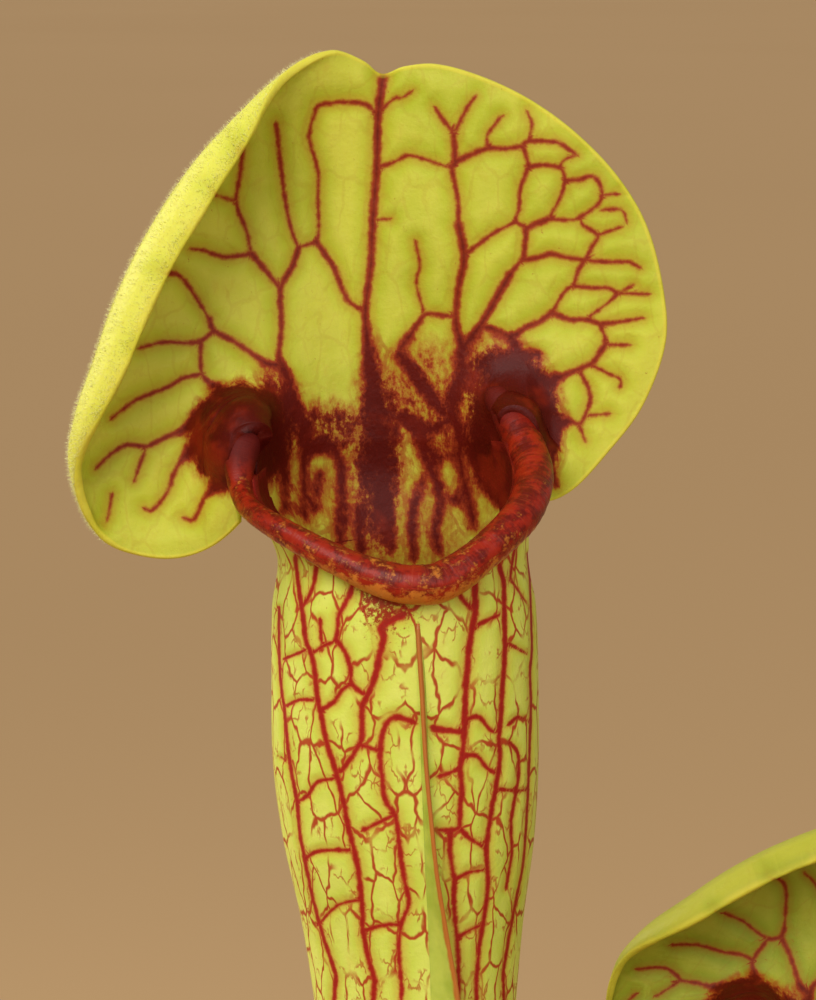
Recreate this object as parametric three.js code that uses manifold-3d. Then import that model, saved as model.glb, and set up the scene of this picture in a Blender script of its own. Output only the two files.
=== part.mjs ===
// A potted pitcher plant: hooded, hollow leaves that stand from a rhizome in a plain round nursery pot.
// Millimetres, +Z up. The origin is on the pot's axis, on the surface that the pot stands on.

import * as THREE from 'three';
import { LoftGeometry } from 'three/addons/geometries/LoftGeometry.js';
import { mergeVertices } from 'three/addons/utils/BufferGeometryUtils.js';
import Module from 'manifold-3d';

const wasm = await Module();
wasm.setup();

const GAP = 0.3;                  // clearance between pieces that touch
const SLIVER = 0.02;              // shorter edges, which joins leave, are closed up

const POT_HEIGHT = 105;
const POT_RIM_RADIUS = 70;
const POT_MOUTH_RADIUS = 67;      // outside of the wall, carried on up to the rim's height
const POT_BASE_RADIUS = 52;
const POT_WALL = 2;
const POT_BAND = 13;              // height of the rim band
const POT_FOOT = 3;               // height of the foot ring
const DRAIN_RADIUS = 4.5;
const DRAIN_CIRCLE = 31;
const DRAIN_COUNT = 6;
const POT_SIDES = 32;
const POT_FOOT_WIDTH = 5;         // width of the foot ring, with its rounded outer edge
const POT_RIM_WIDTH = 3.2;        // the band's wall at the top, with its rounded edges
const POT_ROUND = 1;              // rounding of the pot's edges

const SOIL_Z = 93;                // height of the growing medium at the pot's wall
const SOIL_CROWN = 2.5;           // how far its middle stands above that

const RHIZOME_LENGTH = 42;
const RHIZOME_RADIUS = 8;
const RHIZOME_Z = SOIL_Z - 4;     // height of its axis
const RHIZOME_SWAY = 1.2;         // how far it wanders to each side
const RHIZOME_DROOP = 2.2;        // how far its ends lie below its middle
const RHIZOME_SHAPE = [           // share of the half length, share of the radius
  [-1, 0.35], [-0.93, 0.7], [-0.7, 0.95], [-0.35, 0.9], [0, 1.04], [0.3, 0.94], [0.62, 1], [0.88, 0.72],
  [1, 0.34],
];
const ROOT_COUNT = 5;
const ROOT_RADII = [1.8, 0.8];    // at the rhizome and at the tip
const ROOT_DEPTH = 46;            // how far the shortest root goes down
const ROOT_SPREAD = [14, 16];     // how far a root runs out along X and along Y

const LEAF_WALL = 1.1;            // of the tallest leaf; the smaller ones are a little thinner
const LOBE_END_THICKNESS = 0.66;  // of the hood where it folds over beside the lip
const MAIN_LENGTH = 182;          // from the medium up to the front of the tallest leaf's lip
const FOOT_DEPTH = 8;             // how far a leaf's foot goes down below the medium's edge level
const HOLLOW_SHARE = 0.8;         // the tube is hollow over this share of its length
const FRONT_TURN = 5;             // degrees from straight ahead to the wing
const TUBE_DEPTH = 0.95;          // front-to-back size of the tube over its width
const SPOUT = 0.07;               // share that the tube's front swells by under the lip
const SPOUT_HALF_ARC = 22;        // degrees
const FOOT_HEIGHTS = [-175, -167];  // rows of the tube that its hole in the medium shares
const TUBE_HEIGHTS = [-150, -120, -90, -65, -45, -30, -18, -5];
const SMALL_TUBE_HEIGHTS = [-130, -85, -50, -26, -8];

// The tallest leaf's tube: height from the front of the lip, half width, and side shift of the middle.
const TUBE = [
  [-190, 2.9, 0], [-175, 2.8, 0], [-150, 3.3, 0], [-120, 4.4, 0], [-95, 5.9, 0], [-75, 7.4, 0],
  [-58, 9.1, 0], [-41, 10.9, 0.2], [-34, 11.8, 0.2], [-26, 13.2, 0.1], [-18, 13.95, 0], [-9, 14, 0],
  [-1, 13.8, -0.1], [4, 13.15, -0.15], [7, 13.6, -0.7], [10.5, 14.5, -1.7], [14, 14.5, -2.2],
  [18, 13.8, -2.3],
];

// Its rolled lip: degrees round from the wing, height, and radius of the roll, which swells into a shoulder
// at each end.
const LIP = [
  [-120, 18.2, 1], [-113, 17, 2.5], [-106, 15.6, 2.9], [-100, 13.6, 2.3], [-94, 11.8, 1.5], [-86, 10.7, 1.4],
  [-60, 9, 1.55], [-30, 6, 1.7], [-10, 4.3, 1.9], [0, 4, 1.95], [10, 4.3, 2], [30, 6.7, 2], [60, 10.6, 2.1],
  [85, 14, 2.15], [98, 16.4, 2.4], [108, 18.6, 2.6], [116, 20.2, 2], [122, 21.2, 0.8],
];

// Its hood grows from the back of the rim, between these two angles on each side of the back.
const HOOD_HALF_ARC = 78;
const HOOD_BASE = [[-1, 12.6], [-0.5, 14.5], [0, 15], [0.5, 15.5], [1, 16]];
const HOOD_RISE = [
  [-1, 7], [-0.93, 11], [-0.82, 14], [-0.6, 15], [-0.3, 15], [0, 16],
  [0.3, 14], [0.6, 11.5], [0.82, 9], [0.93, 7], [1, 5],
];
const HOOD_FULLNESS = 0.36;
const LOBE_FULLNESS = 0.66;       // the same for the lobes' ends beside the lip
const HOOD_SUNK = 2.5;            // how deep the hood's root grips into the rim's wall
const HOOD_ENDS = [-0.95, 0.96];  // part of the hood's outline that is built
const MARGIN = 2.4;               // least length of sheet from the bend out to the edge
const HOOD_ROOT_THICKNESS = 1.8;  // where the hood grips the rim's wall
const HOOD_HUB = new THREE.Vector3(-1.8, 10, 21.9);

// The hood's outline from the lip's left end over the notched tip to its right end: place round the edge,
// x, y, z, turn towards the front in degrees, and the radius and angle of the forward curl.
const HOOD_EDGE = [
  [-1, -16.1, 0.5, 10.2, 0, 0, 0],
  [-0.955, -17.5, 2.5, 7.6, 0, 0, 0],
  [-0.91, -20.5, 4, 4.9, 0, 0, 0],
  [-0.86, -24.2, 5, 3.5, 4, 0.5, 10],
  [-0.8, -28.3, 5.5, 3.7, 10, 1, 30],
  [-0.74, -31.7, 5.5, 5.2, 18, 1.6, 50],
  [-0.68, -33.8, 5.5, 8.5, 26, 2.4, 70],
  [-0.61, -35.1, 5.5, 13.6, 33, 3.4, 95],
  [-0.54, -34.4, 5.5, 18.7, 38, 4.6, 112],
  [-0.46, -32.4, 6, 24.5, 38, 5.2, 118],
  [-0.38, -30.1, 7, 31, 38, 5.4, 120],
  [-0.3, -26.7, 8, 37.9, 38, 5.4, 120],
  [-0.22, -21.8, 9.5, 45.2, 38, 5.3, 118],
  [-0.15, -16.3, 11, 51.1, 36, 4.4, 105],
  [-0.1, -11.6, 12, 55.2, 24, 2, 64],
  [-0.06, -7.8, 13, 56.8, 12, 1.2, 50],
  [-0.03, -4.6, 14, 55.7, 4, 0.5, 10],
  [0, -2.5, 14.5, 54.2, 0, 0, 0],
  [0.03, -0.1, 14, 55, 0, 0, 0],
  [0.07, 3.3, 13, 55.3, 0, 0, 0],
  [0.13, 8.2, 12, 54, 0, 0, 0],
  [0.19, 13.1, 11.3, 51.7, 0, 0, 0],
  [0.26, 17.9, 10.8, 48.3, 0, 0, 0],
  [0.34, 22.4, 10.4, 43.7, 0, 0, 0],
  [0.42, 25.6, 10, 38.4, 0, 0, 0],
  [0.51, 27.4, 9.5, 31.6, 0, 0, 0],
  [0.6, 27.6, 9, 25.8, 0, 0, 0],
  [0.7, 25.1, 8.5, 19.1, 0, 0, 0],
  [0.79, 21.2, 7.5, 14.1, 0, 0, 0],
  [0.87, 17.8, 6.3, 10.7, 0, 0, 0],
  [0.94, 15, 4.5, 9.7, 0, 0, 0],
  [1, 13.4, 2.2, 11.3, 0, 0, 0],
];

const LIP_OUT = 0.55;             // shares of the roll's radius that its middle is out from the rim and down
const LIP_DOWN = 0.2;
const LIP_SIDES = 6;
const LIP_MIDDLE_X = -1.5;        // the roll turns outwards from here

// Its wing, a thin flange down the front of the tube: height, how far it stands out, degrees to its edge.
const WING = [
  [-168, 0.6, 8], [-150, 1.6, 15], [-110, 3.6, 22], [-75, 4.2, 24], [-42, 3, 19.5], [-34, 2.3, 15.5],
  [-26, 1.8, 11], [-15, 1.2, 8], [-2, 0.9, 5.5],
];
const WING_ROOT_TURN = 5.5;
const WING_THICKNESS = 0.8;

// Each open leaf: where its foot stands in plan, how far its mouth is from there, its tube's length, its
// size, its turn about the upright, its hand, and its tilt about X and Y, which comes last. The fineness
// sets how many faces it has.
const LEAVES = [
  {
    name: 'pitcher_main', foot: [-1, 2], run: [-11, 12], length: MAIN_LENGTH,
    size: 1, turn: 0, hand: 1, tilt: [0, 0], fine: 1,
  },
  {
    name: 'pitcher_second', foot: [9.5, 2.5], run: [-49, 21], length: 103,
    size: 0.85, turn: -18, hand: 1, tilt: [0, 35], fine: 0.7,
  },
  {
    name: 'pitcher_third', foot: [-11.5, -1], run: [-9, -9], length: 88,
    size: 0.64, turn: 75, hand: -1, tilt: [0, -12], fine: 0.63,
  },
  {
    name: 'pitcher_fourth', foot: [4, -4.5], run: [7, -16], length: 68,
    size: 0.55, turn: -150, hand: 1, tilt: [12, 8], fine: 0.63,
  },
];

const YOUNG = { foot: [-6, -4.5], tip: [-13, -17], length: 74, radius: 3.1 };
const YOUNG_SHAPE = [             // height, share of the radius
  [0, 0.5], [15, 0.52], [30, 0.62], [44, 0.82], [56, 1], [65, 0.8], [71, 0.5], [YOUNG.length, 0.12],
];

const radians = THREE.MathUtils.degToRad;

// A smooth curve through rows of [key, value, value...], found at one key.
function along(rows, key) {
  const last = rows.length - 1;
  const x = THREE.MathUtils.clamp(key, rows[0][0], rows[last][0]);
  let i = 0;
  while (i < last - 1 && x >= rows[i + 1][0]) i += 1;
  const slope = (k, c) => {
    const from = rows[Math.max(k - 1, 0)];
    const to = rows[Math.min(k + 1, last)];
    return (to[c] - from[c]) / (to[0] - from[0]);
  };
  const h = rows[i + 1][0] - rows[i][0];
  const t = (x - rows[i][0]) / h;
  const values = [];
  for (let c = 1; c < rows[0].length; c += 1) {
    values.push((2 * t ** 3 - 3 * t ** 2 + 1) * rows[i][c] + (t ** 3 - 2 * t ** 2 + t) * h * slope(i, c)
      + (3 * t ** 2 - 2 * t ** 3) * rows[i + 1][c] + (t ** 3 - t ** 2) * h * slope(i + 1, c));
  }
  return values;
}

function steps(from, to, count) {
  return Array.from({ length: count + 1 }, (_, i) => from + (to - from) * i / count);
}

function solid(geometry) {
  const bare = new THREE.BufferGeometry();
  bare.setAttribute('position', geometry.attributes.position);
  bare.setIndex(geometry.index);
  const merged = mergeVertices(bare, 1e-4);
  const mesh = new wasm.Mesh({
    numProp: 3,
    vertProperties: Float32Array.from(merged.attributes.position.array),
    triVerts: Uint32Array.from(merged.index.array),
  });
  return new wasm.Manifold(mesh);
}

// The body's faces, with each edge shorter than a sliver closed up, and without loose scraps.
function geometryOf(body) {
  const mesh = body.getMesh();
  const corner = (v) => new THREE.Vector3().fromArray(mesh.vertProperties, 3 * v);
  let faces = [];
  for (let i = 0; i < mesh.triVerts.length; i += 3) faces.push([...mesh.triVerts.subarray(i, i + 3)]);
  const around = new Map();
  const note = (face) => face.forEach((v) => around.set(v, (around.get(v) ?? new Set()).add(face)));
  faces.forEach(note);
  const ring = (v) => new Set([...around.get(v)].flat().filter((other) => other !== v));
  const close = (keep, drop) => {
    for (const face of [...around.get(drop)]) {
      if (face.includes(keep)) {
        face.forEach((v) => around.get(v).delete(face));
        face.length = 0;
      } else {
        face[face.indexOf(drop)] = keep;
        around.get(keep).add(face);
      }
    }
    around.delete(drop);
  };
  let closed = true;
  while (closed) {
    closed = false;
    for (const face of faces) {
      for (let k = 0; k < 3 && face.length === 3; k += 1) {
        const [keep, drop] = [face[k], face[(k + 1) % 3]];
        const near = corner(keep).distanceTo(corner(drop)) < SLIVER;
        if (near && [...ring(keep)].filter((v) => ring(drop).has(v)).length === 2) {
          close(keep, drop);
          closed = true;
        }
      }
    }
    faces = faces.filter((face) => face.length === 3);
  }
  // Only the largest connected body stays, without the scraps that a join can leave beside it.
  const groups = [];
  const seen = new Set();
  for (const face of faces) {
    if (seen.has(face)) continue;
    const group = [face];
    seen.add(face);
    for (const member of group) {
      for (const v of member) {
        for (const next of around.get(v)) {
          if (!seen.has(next)) group.push(next);
          seen.add(next);
        }
      }
    }
    groups.push(group);
  }
  faces = groups.sort((a, b) => b.length - a.length)[0];
  const names = [...new Set(faces.flat())];
  const place = new Map(names.map((v, i) => [v, i]));
  const geometry = new THREE.BufferGeometry();
  const corners = names.flatMap((v) => corner(v).toArray());
  geometry.setAttribute('position', new THREE.Float32BufferAttribute(corners, 3));
  geometry.setIndex(faces.flat().map((v) => place.get(v)));
  return geometry;
}

// A closed body from a grid of faces: front and back are rows of points, both split along one diagonal.
function sheetSolid(front, back) {
  const rows = front.length;
  const cols = front[0].length;
  const points = [...front.flat(), ...back.flat()];
  const index = [];
  const at = (i, j) => i * cols + j;
  const under = (i, j) => rows * cols + at(i, j);
  for (let i = 0; i < rows - 1; i += 1) {
    for (let j = 0; j < cols - 1; j += 1) {
      index.push(at(i, j), at(i + 1, j), at(i + 1, j + 1), at(i, j), at(i + 1, j + 1), at(i, j + 1));
      index.push(under(i, j), under(i + 1, j + 1), under(i + 1, j));
      index.push(under(i, j), under(i, j + 1), under(i + 1, j + 1));
    }
  }
  const edge = (a, b, c, d) => index.push(a, b, c, b, d, c);
  for (let i = 0; i < rows - 1; i += 1) {
    edge(at(i, 0), under(i, 0), at(i + 1, 0), under(i + 1, 0));
    edge(at(i + 1, cols - 1), under(i + 1, cols - 1), at(i, cols - 1), under(i, cols - 1));
  }
  for (let j = 0; j < cols - 1; j += 1) {
    edge(at(0, j + 1), under(0, j + 1), at(0, j), under(0, j));
    edge(at(rows - 1, j), under(rows - 1, j), at(rows - 1, j + 1), under(rows - 1, j + 1));
  }
  const geometry = new THREE.BufferGeometry();
  geometry.setAttribute('position', new THREE.Float32BufferAttribute(points.flatMap((p) => p.toArray()), 3));
  geometry.setIndex(index);
  const body = solid(geometry);
  return body.volume() < 0 ? sheetSolid(back, front) : body;
}

// A closed body lofted through rings of points; rings that run backwards are turned round first.
function loftSolid(rings) {
  const middle = (ring) => ring.reduce((sum, p) => sum.add(p), new THREE.Vector3()).divideScalar(ring.length);
  const start = middle(rings[0]);
  const ahead = middle(rings[1]).sub(start);
  const area = new THREE.Vector3();
  rings[0].forEach((p, i) => {
    const next = rings[0][(i + 1) % rings[0].length];
    area.add(p.clone().sub(start).cross(next.clone().sub(start)));
  });
  const sections = area.dot(ahead) > 0 ? rings : rings.map((ring) => [...ring].reverse());
  return solid(new LoftGeometry(sections, { capStart: true, capEnd: true }));
}

// Round sections along a path of points with a radius each.
function tubeSolid(path, radii, sides) {
  const rings = path.map((centre, i) => {
    const before = path[Math.max(i - 1, 0)];
    const after = path[Math.min(i + 1, path.length - 1)];
    const ahead = after.clone().sub(before).normalize();
    const side = new THREE.Vector3(0.3, 1, 0.2).cross(ahead).normalize();
    const other = ahead.clone().cross(side);
    return steps(0, 2 * Math.PI, sides).slice(0, sides).map((angle) => centre.clone()
      .addScaledVector(side, radii[i] * Math.cos(angle))
      .addScaledVector(other, radii[i] * Math.sin(angle)));
  });
  return loftSolid(rings);
}

// One leaf's own frame: z is 0 at the front of the lip, the mouth's axis is at 0, 0, and it faces -Y.
class Leaf {
  constructor(spec) {
    Object.assign(this, spec);
    this.wall = LEAF_WALL * (0.4 + 0.6 * spec.size);
    const turn = radians(-spec.turn);
    this.lean = [
      (spec.run[1] * Math.sin(turn) - spec.run[0] * Math.cos(turn)) * spec.hand,
      -spec.run[0] * Math.sin(turn) - spec.run[1] * Math.cos(turn),
    ];
  }

  // Height in the tallest leaf's own measure.
  measure(z) {
    return z < 0 ? z * MAIN_LENGTH / this.length : z / this.size;
  }

  height(measure) {
    return measure < 0 ? measure * this.length / MAIN_LENGTH : measure * this.size;
  }

  centre(z) {
    const [, shift] = along(TUBE, this.measure(z));
    const share = THREE.MathUtils.clamp((-z / this.length - 0.06) / 0.94, 0, 1) ** 1.5;
    return [shift * this.size + this.lean[0] * share, this.lean[1] * share];
  }

  // A point of the tube's wall, at an angle round from the wing, inset from the outer face.
  ring(degrees, z, inset = 0) {
    const [halfWidth] = along(TUBE, this.measure(z));
    const [cx, cy] = this.centre(z);
    const spout = SPOUT * Math.exp(-((degrees / SPOUT_HALF_ARC) ** 2))
      * THREE.MathUtils.clamp((this.measure(z) + 12) / 14, 0, 1);
    const r = halfWidth * this.size * (1 + spout) - inset;
    const angle = radians(degrees + FRONT_TURN);
    return new THREE.Vector3(cx + r * Math.sin(angle), cy - TUBE_DEPTH * r * Math.cos(angle), z);
  }

  // The rim's height: the lip in front, the hood's base behind.
  rim(degrees) {
    const beyond = 180 - Math.abs(degrees);
    if (beyond > HOOD_HALF_ARC) return along(LIP, degrees)[0] * this.size;
    return along(HOOD_BASE, Math.sign(degrees) * beyond / HOOD_HALF_ARC)[0] * this.size;
  }

  roundAngles() {
    const sides = Math.round(20 * this.fine);
    return steps(-180, 180, sides).slice(0, sides);
  }

  tube() {
    const angles = this.roundAngles();
    const low = [...FOOT_HEIGHTS, ...(this.fine < 1 ? SMALL_TUBE_HEIGHTS : TUBE_HEIGHTS)];
    const wall = (measure, inset) => angles.map((a) => this.ring(a, this.height(measure), inset));
    const top = (share, inset) => angles.map((a) => this.ring(a, this.rim(a) * share, inset));
    const floor = -MAIN_LENGTH * HOLLOW_SHARE;
    const foot = -MAIN_LENGTH * (1 + FOOT_DEPTH / this.length);
    const outer = [wall(foot, 0), ...low.map((m) => wall(m, 0)), top(0.5, 0), top(1, 0)];
    const down = low.filter((m) => m > floor + 20).reverse();
    const inner = [top(1, this.wall), top(0.5, this.wall), ...down.map((m) => wall(m, this.wall)),
      wall(floor, this.wall), wall(floor + 0.5, 1.6 * this.wall)];
    return loftSolid([...outer, ...inner]);
  }

  hood() {
    const cols = Math.round(28 * this.fine);
    const rows = Math.round(5 * this.fine);
    const curls = Math.round(3 * this.fine);
    const places = steps(HOOD_ENDS[0], HOOD_ENDS[1], cols);
    const grid = places.map((a) => this.hoodLine(a, steps(0, 1, rows), steps(0, 1, curls).slice(1)));
    const share = (i) => THREE.MathUtils.smoothstep(Math.abs(places[i]), 0.8, 0.93);
    const sheet = (i) => THREE.MathUtils.lerp(this.wall, LOBE_END_THICKNESS, share(i));
    const half = (i, j) => (j < 2 ? HOOD_ROOT_THICKNESS * Math.sqrt(this.size) : sheet(i)) / 2;
    const side = (sign) => grid.map((line, i) => line.map((p, j) => {
      const u = grid[Math.min(i + 1, cols)][j].clone().sub(grid[Math.max(i - 1, 0)][j]);
      const v = line[Math.min(j + 1, line.length - 1)].clone().sub(line[Math.max(j - 1, 0)]);
      return p.clone().addScaledVector(u.cross(v).normalize(), sign * half(i, j));
    }));
    return sheetSolid(side(1), side(-1));
  }

  // One line of the hood from inside the rim's wall up to the edge and round its curl.
  hoodLine(a, shares, curlShares) {
    const s = this.size;
    const degrees = a < 0 ? -180 - HOOD_HALF_ARC * a : 180 - HOOD_HALF_ARC * a;
    const baseZ = along(HOOD_BASE, a)[0] * s;
    const base = this.ring(degrees, baseZ, this.wall / 2);
    const sunk = this.ring(degrees, baseZ - HOOD_SUNK * s, this.wall / 2);
    const [x, y, z, turnDegrees, curlRadius, curlDegrees] = along(HOOD_EDGE, a);
    const outline = new THREE.Vector3(x, y, z);
    const turn = radians(turnDegrees);
    const radius = Math.max(curlRadius, 0) * s;
    const sweep = radians(Math.max(curlDegrees, 0)) * THREE.MathUtils.smoothstep(radius, 0.5, 1.6);
    const drop = THREE.MathUtils.smoothstep(Math.abs(a), 0.78, 0.94);
    const away = outline.clone().sub(HOOD_HUB).setY(0).normalize().lerp(new THREE.Vector3(0, 0, -1), drop)
      .normalize();
    const front = new THREE.Vector3(0, -1, 0);
    const ahead = away.clone().multiplyScalar(Math.cos(turn)).addScaledVector(front, Math.sin(turn));
    const inward = away.clone().multiplyScalar(-Math.sin(turn)).addScaledVector(front, Math.cos(turn));
    const reach = sweep > Math.PI / 2 - turn
      ? 1 - Math.sin(turn)
      : Math.sin(sweep) * Math.cos(turn) - (1 - Math.cos(sweep)) * Math.sin(turn);
    const straight = Math.max(0, MARGIN * s - radius * sweep);
    const bend = outline.multiplyScalar(s).addScaledVector(away, -radius * reach)
      .addScaledVector(ahead, -straight);
    const rise = base.clone().setZ(base.z + along(HOOD_RISE, a)[0] * s);
    const fullness = THREE.MathUtils.lerp(HOOD_FULLNESS, LOBE_FULLNESS, drop);
    const hold = bend.clone().addScaledVector(ahead, -fullness * bend.distanceTo(base));
    const curve = new THREE.CubicBezierCurve3(base, rise, hold, bend);
    const curl = (share) => bend.clone()
      .addScaledVector(ahead, radius * Math.sin(sweep * share) + straight * share)
      .addScaledVector(inward, radius * (1 - Math.cos(sweep * share)));
    return [sunk, ...shares.map((t) => curve.getPoint(t)), ...curlShares.map(curl)];
  }

  lip() {
    const count = Math.round(22 * this.fine);
    const angles = steps(LIP[0][0], LIP[LIP.length - 1][0], count);
    const line = angles.map((a) => this.ring(a, along(LIP, a)[0] * this.size));
    const middle = new THREE.Vector3(LIP_MIDDLE_X * this.size, 0, 0);
    const rings = line.map((point, i) => {
      const tangent = line[Math.min(i + 1, count)].clone().sub(line[Math.max(i - 1, 0)]).normalize();
      const outward = point.clone().sub(middle).setZ(0).normalize();
      outward.addScaledVector(tangent, -outward.dot(tangent)).normalize();
      const up = outward.clone().cross(tangent);
      up.multiplyScalar(Math.sign(up.z));
      const radius = along(LIP, angles[i])[1] * this.size;
      const centre = point.clone().addScaledVector(outward, LIP_OUT * radius)
        .addScaledVector(up, -LIP_DOWN * radius);
      return steps(0, 2 * Math.PI, LIP_SIDES).slice(0, LIP_SIDES).map((angle) => centre.clone()
        .addScaledVector(outward, radius * Math.cos(angle))
        .addScaledVector(up, radius * Math.sin(angle)));
    });
    return loftSolid(rings);
  }

  wing() {
    const heights = steps(WING[0][0], WING[WING.length - 1][0], Math.round(16 * this.fine));
    const line = (side) => heights.map((measure) => {
      const z = this.height(measure);
      const [stand, edgeTurn] = along(WING, measure);
      const root = this.ring(WING_ROOT_TURN - FRONT_TURN, z, this.wall * 0.7);
      const [cx, cy] = this.centre(z);
      const [halfWidth] = along(TUBE, measure);
      const r = (halfWidth + stand) * this.size;
      const angle = radians(edgeTurn);
      const tip = new THREE.Vector3(cx + r * Math.sin(angle), cy - TUBE_DEPTH * r * Math.cos(angle), z);
      const across = new THREE.Vector3(root.y - tip.y, tip.x - root.x, 0).normalize();
      const shift = side * WING_THICKNESS / 2;
      return [root, tip].map((p) => p.clone().addScaledVector(across, shift));
    });
    return sheetSolid(line(1), line(-1));
  }

  // The foot of the tube alone, let out by a clearance, for the hole that it stands in.
  footHole() {
    const angles = this.roundAngles();
    const bottom = -this.length - FOOT_DEPTH;
    const wall = (z) => angles.map((a) => this.ring(a, z, -1.2 * GAP));
    const floor = wall(bottom).map((p) => p.setZ(bottom - 2 * GAP));
    return loftSolid([floor, ...FOOT_HEIGHTS.map((measure) => wall(this.height(measure)))]);
  }

  // Turns and tilts a body of this leaf's frame about its foot, and sets it at its place in the pot.
  place(body) {
    const handed = this.hand < 0 ? body.mirror([1, 0, 0]) : body;
    const onFoot = handed.rotate([0, 0, this.turn]).translate([this.run[0], this.run[1], this.length]);
    return onFoot.rotate([this.tilt[0], this.tilt[1], 0]).translate([this.foot[0], this.foot[1], SOIL_Z]);
  }

  body() {
    const shell = this.tube().add(this.hood()).add(this.lip()).add(this.wing());
    return this.place(shell);
  }
}

// The unopened leaf: a slim spear, thickest near its closed tip. It can be let out by a clearance.
function youngLeaf(grow) {
  const shape = [[-FOOT_DEPTH - 2 * grow, YOUNG_SHAPE[0][1]], ...YOUNG_SHAPE];
  const path = shape.map(([h]) => {
    const run = Math.max(0, h / YOUNG.length) ** 1.4;
    const x = YOUNG.foot[0] + (YOUNG.tip[0] - YOUNG.foot[0]) * run;
    const y = YOUNG.foot[1] + (YOUNG.tip[1] - YOUNG.foot[1]) * run;
    return new THREE.Vector3(x, y, SOIL_Z + h);
  });
  return tubeSolid(path, shape.map(([, share]) => share * YOUNG.radius + grow), 10);
}

// The rhizome lies along X with its top out of the medium; its roots run down and out into it.
function rhizome(grow) {
  const path = RHIZOME_SHAPE.map(([q]) => new THREE.Vector3(
    q * (RHIZOME_LENGTH / 2 + grow),
    RHIZOME_SWAY * (Math.sin(q * 4) - 0.5),
    RHIZOME_Z - RHIZOME_DROOP * q * q,
  ));
  let body = tubeSolid(path, RHIZOME_SHAPE.map(([, share]) => share * RHIZOME_RADIUS + grow), 10);
  for (let i = 0; i < ROOT_COUNT; i += 1) {
    const turn = 0.5 + i * 2.4;
    const startX = (i / (ROOT_COUNT - 1) - 0.5) * RHIZOME_LENGTH * 0.8;
    const depth = ROOT_DEPTH + 4 * (i % 3);
    const route = steps(0, 1, 4).map((t) => new THREE.Vector3(
      startX + (ROOT_SPREAD[0] * t + 3 * Math.sin(5 * t + i)) * Math.cos(turn),
      ROOT_SPREAD[1] * t * Math.sin(turn),
      RHIZOME_Z - 3 - depth * t,
    ));
    route[route.length - 1].z -= grow;
    body = body.add(tubeSolid(route, steps(ROOT_RADII[0], ROOT_RADII[1], 4).map((r) => r + grow), 5));
  }
  return body;
}

// A body turned about the pot's axis from [radius, height] rows, from the middle of its underside round to
// the middle of its top.
function turned(outline) {
  const points = outline.map(([r, z]) => new THREE.Vector2(r, z));
  return solid(new THREE.LatheGeometry(points, POT_SIDES).rotateX(Math.PI / 2));
}

function potRadiusAt(z) {
  return POT_BASE_RADIUS + (POT_MOUTH_RADIUS - POT_BASE_RADIUS) * z / POT_HEIGHT;
}

function pot() {
  const band = POT_HEIGHT - POT_BAND;
  const floor = POT_FOOT + POT_WALL;
  let body = turned([
    [0, POT_FOOT],
    [POT_BASE_RADIUS - POT_FOOT_WIDTH - POT_ROUND, POT_FOOT],
    [POT_BASE_RADIUS - POT_FOOT_WIDTH, 0],
    [POT_BASE_RADIUS - 0.8 * POT_ROUND, 0],
    [potRadiusAt(POT_ROUND), POT_ROUND],
    [potRadiusAt(band), band],
    [POT_RIM_RADIUS - 1.2 * POT_ROUND, band],
    [POT_RIM_RADIUS, POT_HEIGHT - POT_ROUND],
    [POT_RIM_RADIUS - POT_ROUND, POT_HEIGHT],
    [POT_RIM_RADIUS - POT_RIM_WIDTH + 0.6 * POT_ROUND, POT_HEIGHT],
    [POT_RIM_RADIUS - POT_RIM_WIDTH, POT_HEIGHT - POT_ROUND],
    [potRadiusAt(band) - POT_WALL, band - POT_WALL],
    [potRadiusAt(floor) - POT_WALL, floor],
    [0, floor],
  ]);
  for (let i = 0; i < DRAIN_COUNT; i += 1) {
    const angle = 2 * Math.PI * i / DRAIN_COUNT;
    const drill = new THREE.CylinderGeometry(DRAIN_RADIUS, DRAIN_RADIUS, 4 * POT_WALL, 8)
      .rotateX(Math.PI / 2)
      .translate(DRAIN_CIRCLE * Math.cos(angle), DRAIN_CIRCLE * Math.sin(angle), floor - POT_WALL / 2);
    body = body.subtract(solid(drill));
  }
  return body;
}

function growingMedium(leaves) {
  const floor = POT_FOOT + POT_WALL + GAP;
  const shoulder = POT_HEIGHT - POT_BAND - 4;
  const wallAt = (z) => potRadiusAt(z) - POT_WALL - 1.3 * GAP;
  let body = turned([
    [0, floor],
    [wallAt(floor), floor],
    [wallAt(shoulder), shoulder],
    [wallAt(SOIL_Z - 3) - 0.5, SOIL_Z - 1],
    [0.8 * POT_MOUTH_RADIUS, SOIL_Z + 0.25 * SOIL_CROWN],
    [0.5 * POT_MOUTH_RADIUS, SOIL_Z + 0.75 * SOIL_CROWN],
    [0, SOIL_Z + SOIL_CROWN],
  ]);
  body = body.subtract(rhizome(GAP)).subtract(youngLeaf(GAP));
  for (const leaf of leaves) body = body.subtract(leaf.place(leaf.footHole()));
  return body;
}

function piece(name, body, color, roughness) {
  const material = new THREE.MeshStandardMaterial({ color, roughness, metalness: 0 });
  const mesh = new THREE.Mesh(geometryOf(body), material);
  mesh.name = name;
  return mesh;
}

const leaves = LEAVES.map((spec) => new Leaf(spec));
let stem = rhizome(0).subtract(youngLeaf(GAP));
for (const leaf of leaves) stem = stem.subtract(leaf.place(leaf.footHole()));

const plant = new THREE.Group();
plant.add(piece('pot', pot(), 0x3a3c38, 0.5));
plant.add(piece('growing_medium', growingMedium(leaves), 0x4a3a28, 0.95));
plant.add(piece('rhizome', stem, 0x6e4a32, 0.85));
for (const leaf of leaves) plant.add(piece(leaf.name, leaf.body(), 0xb4bc3c, 0.45));
plant.add(piece('pitcher_young', youngLeaf(0), 0x9cb04a, 0.5));

export default plant;
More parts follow.
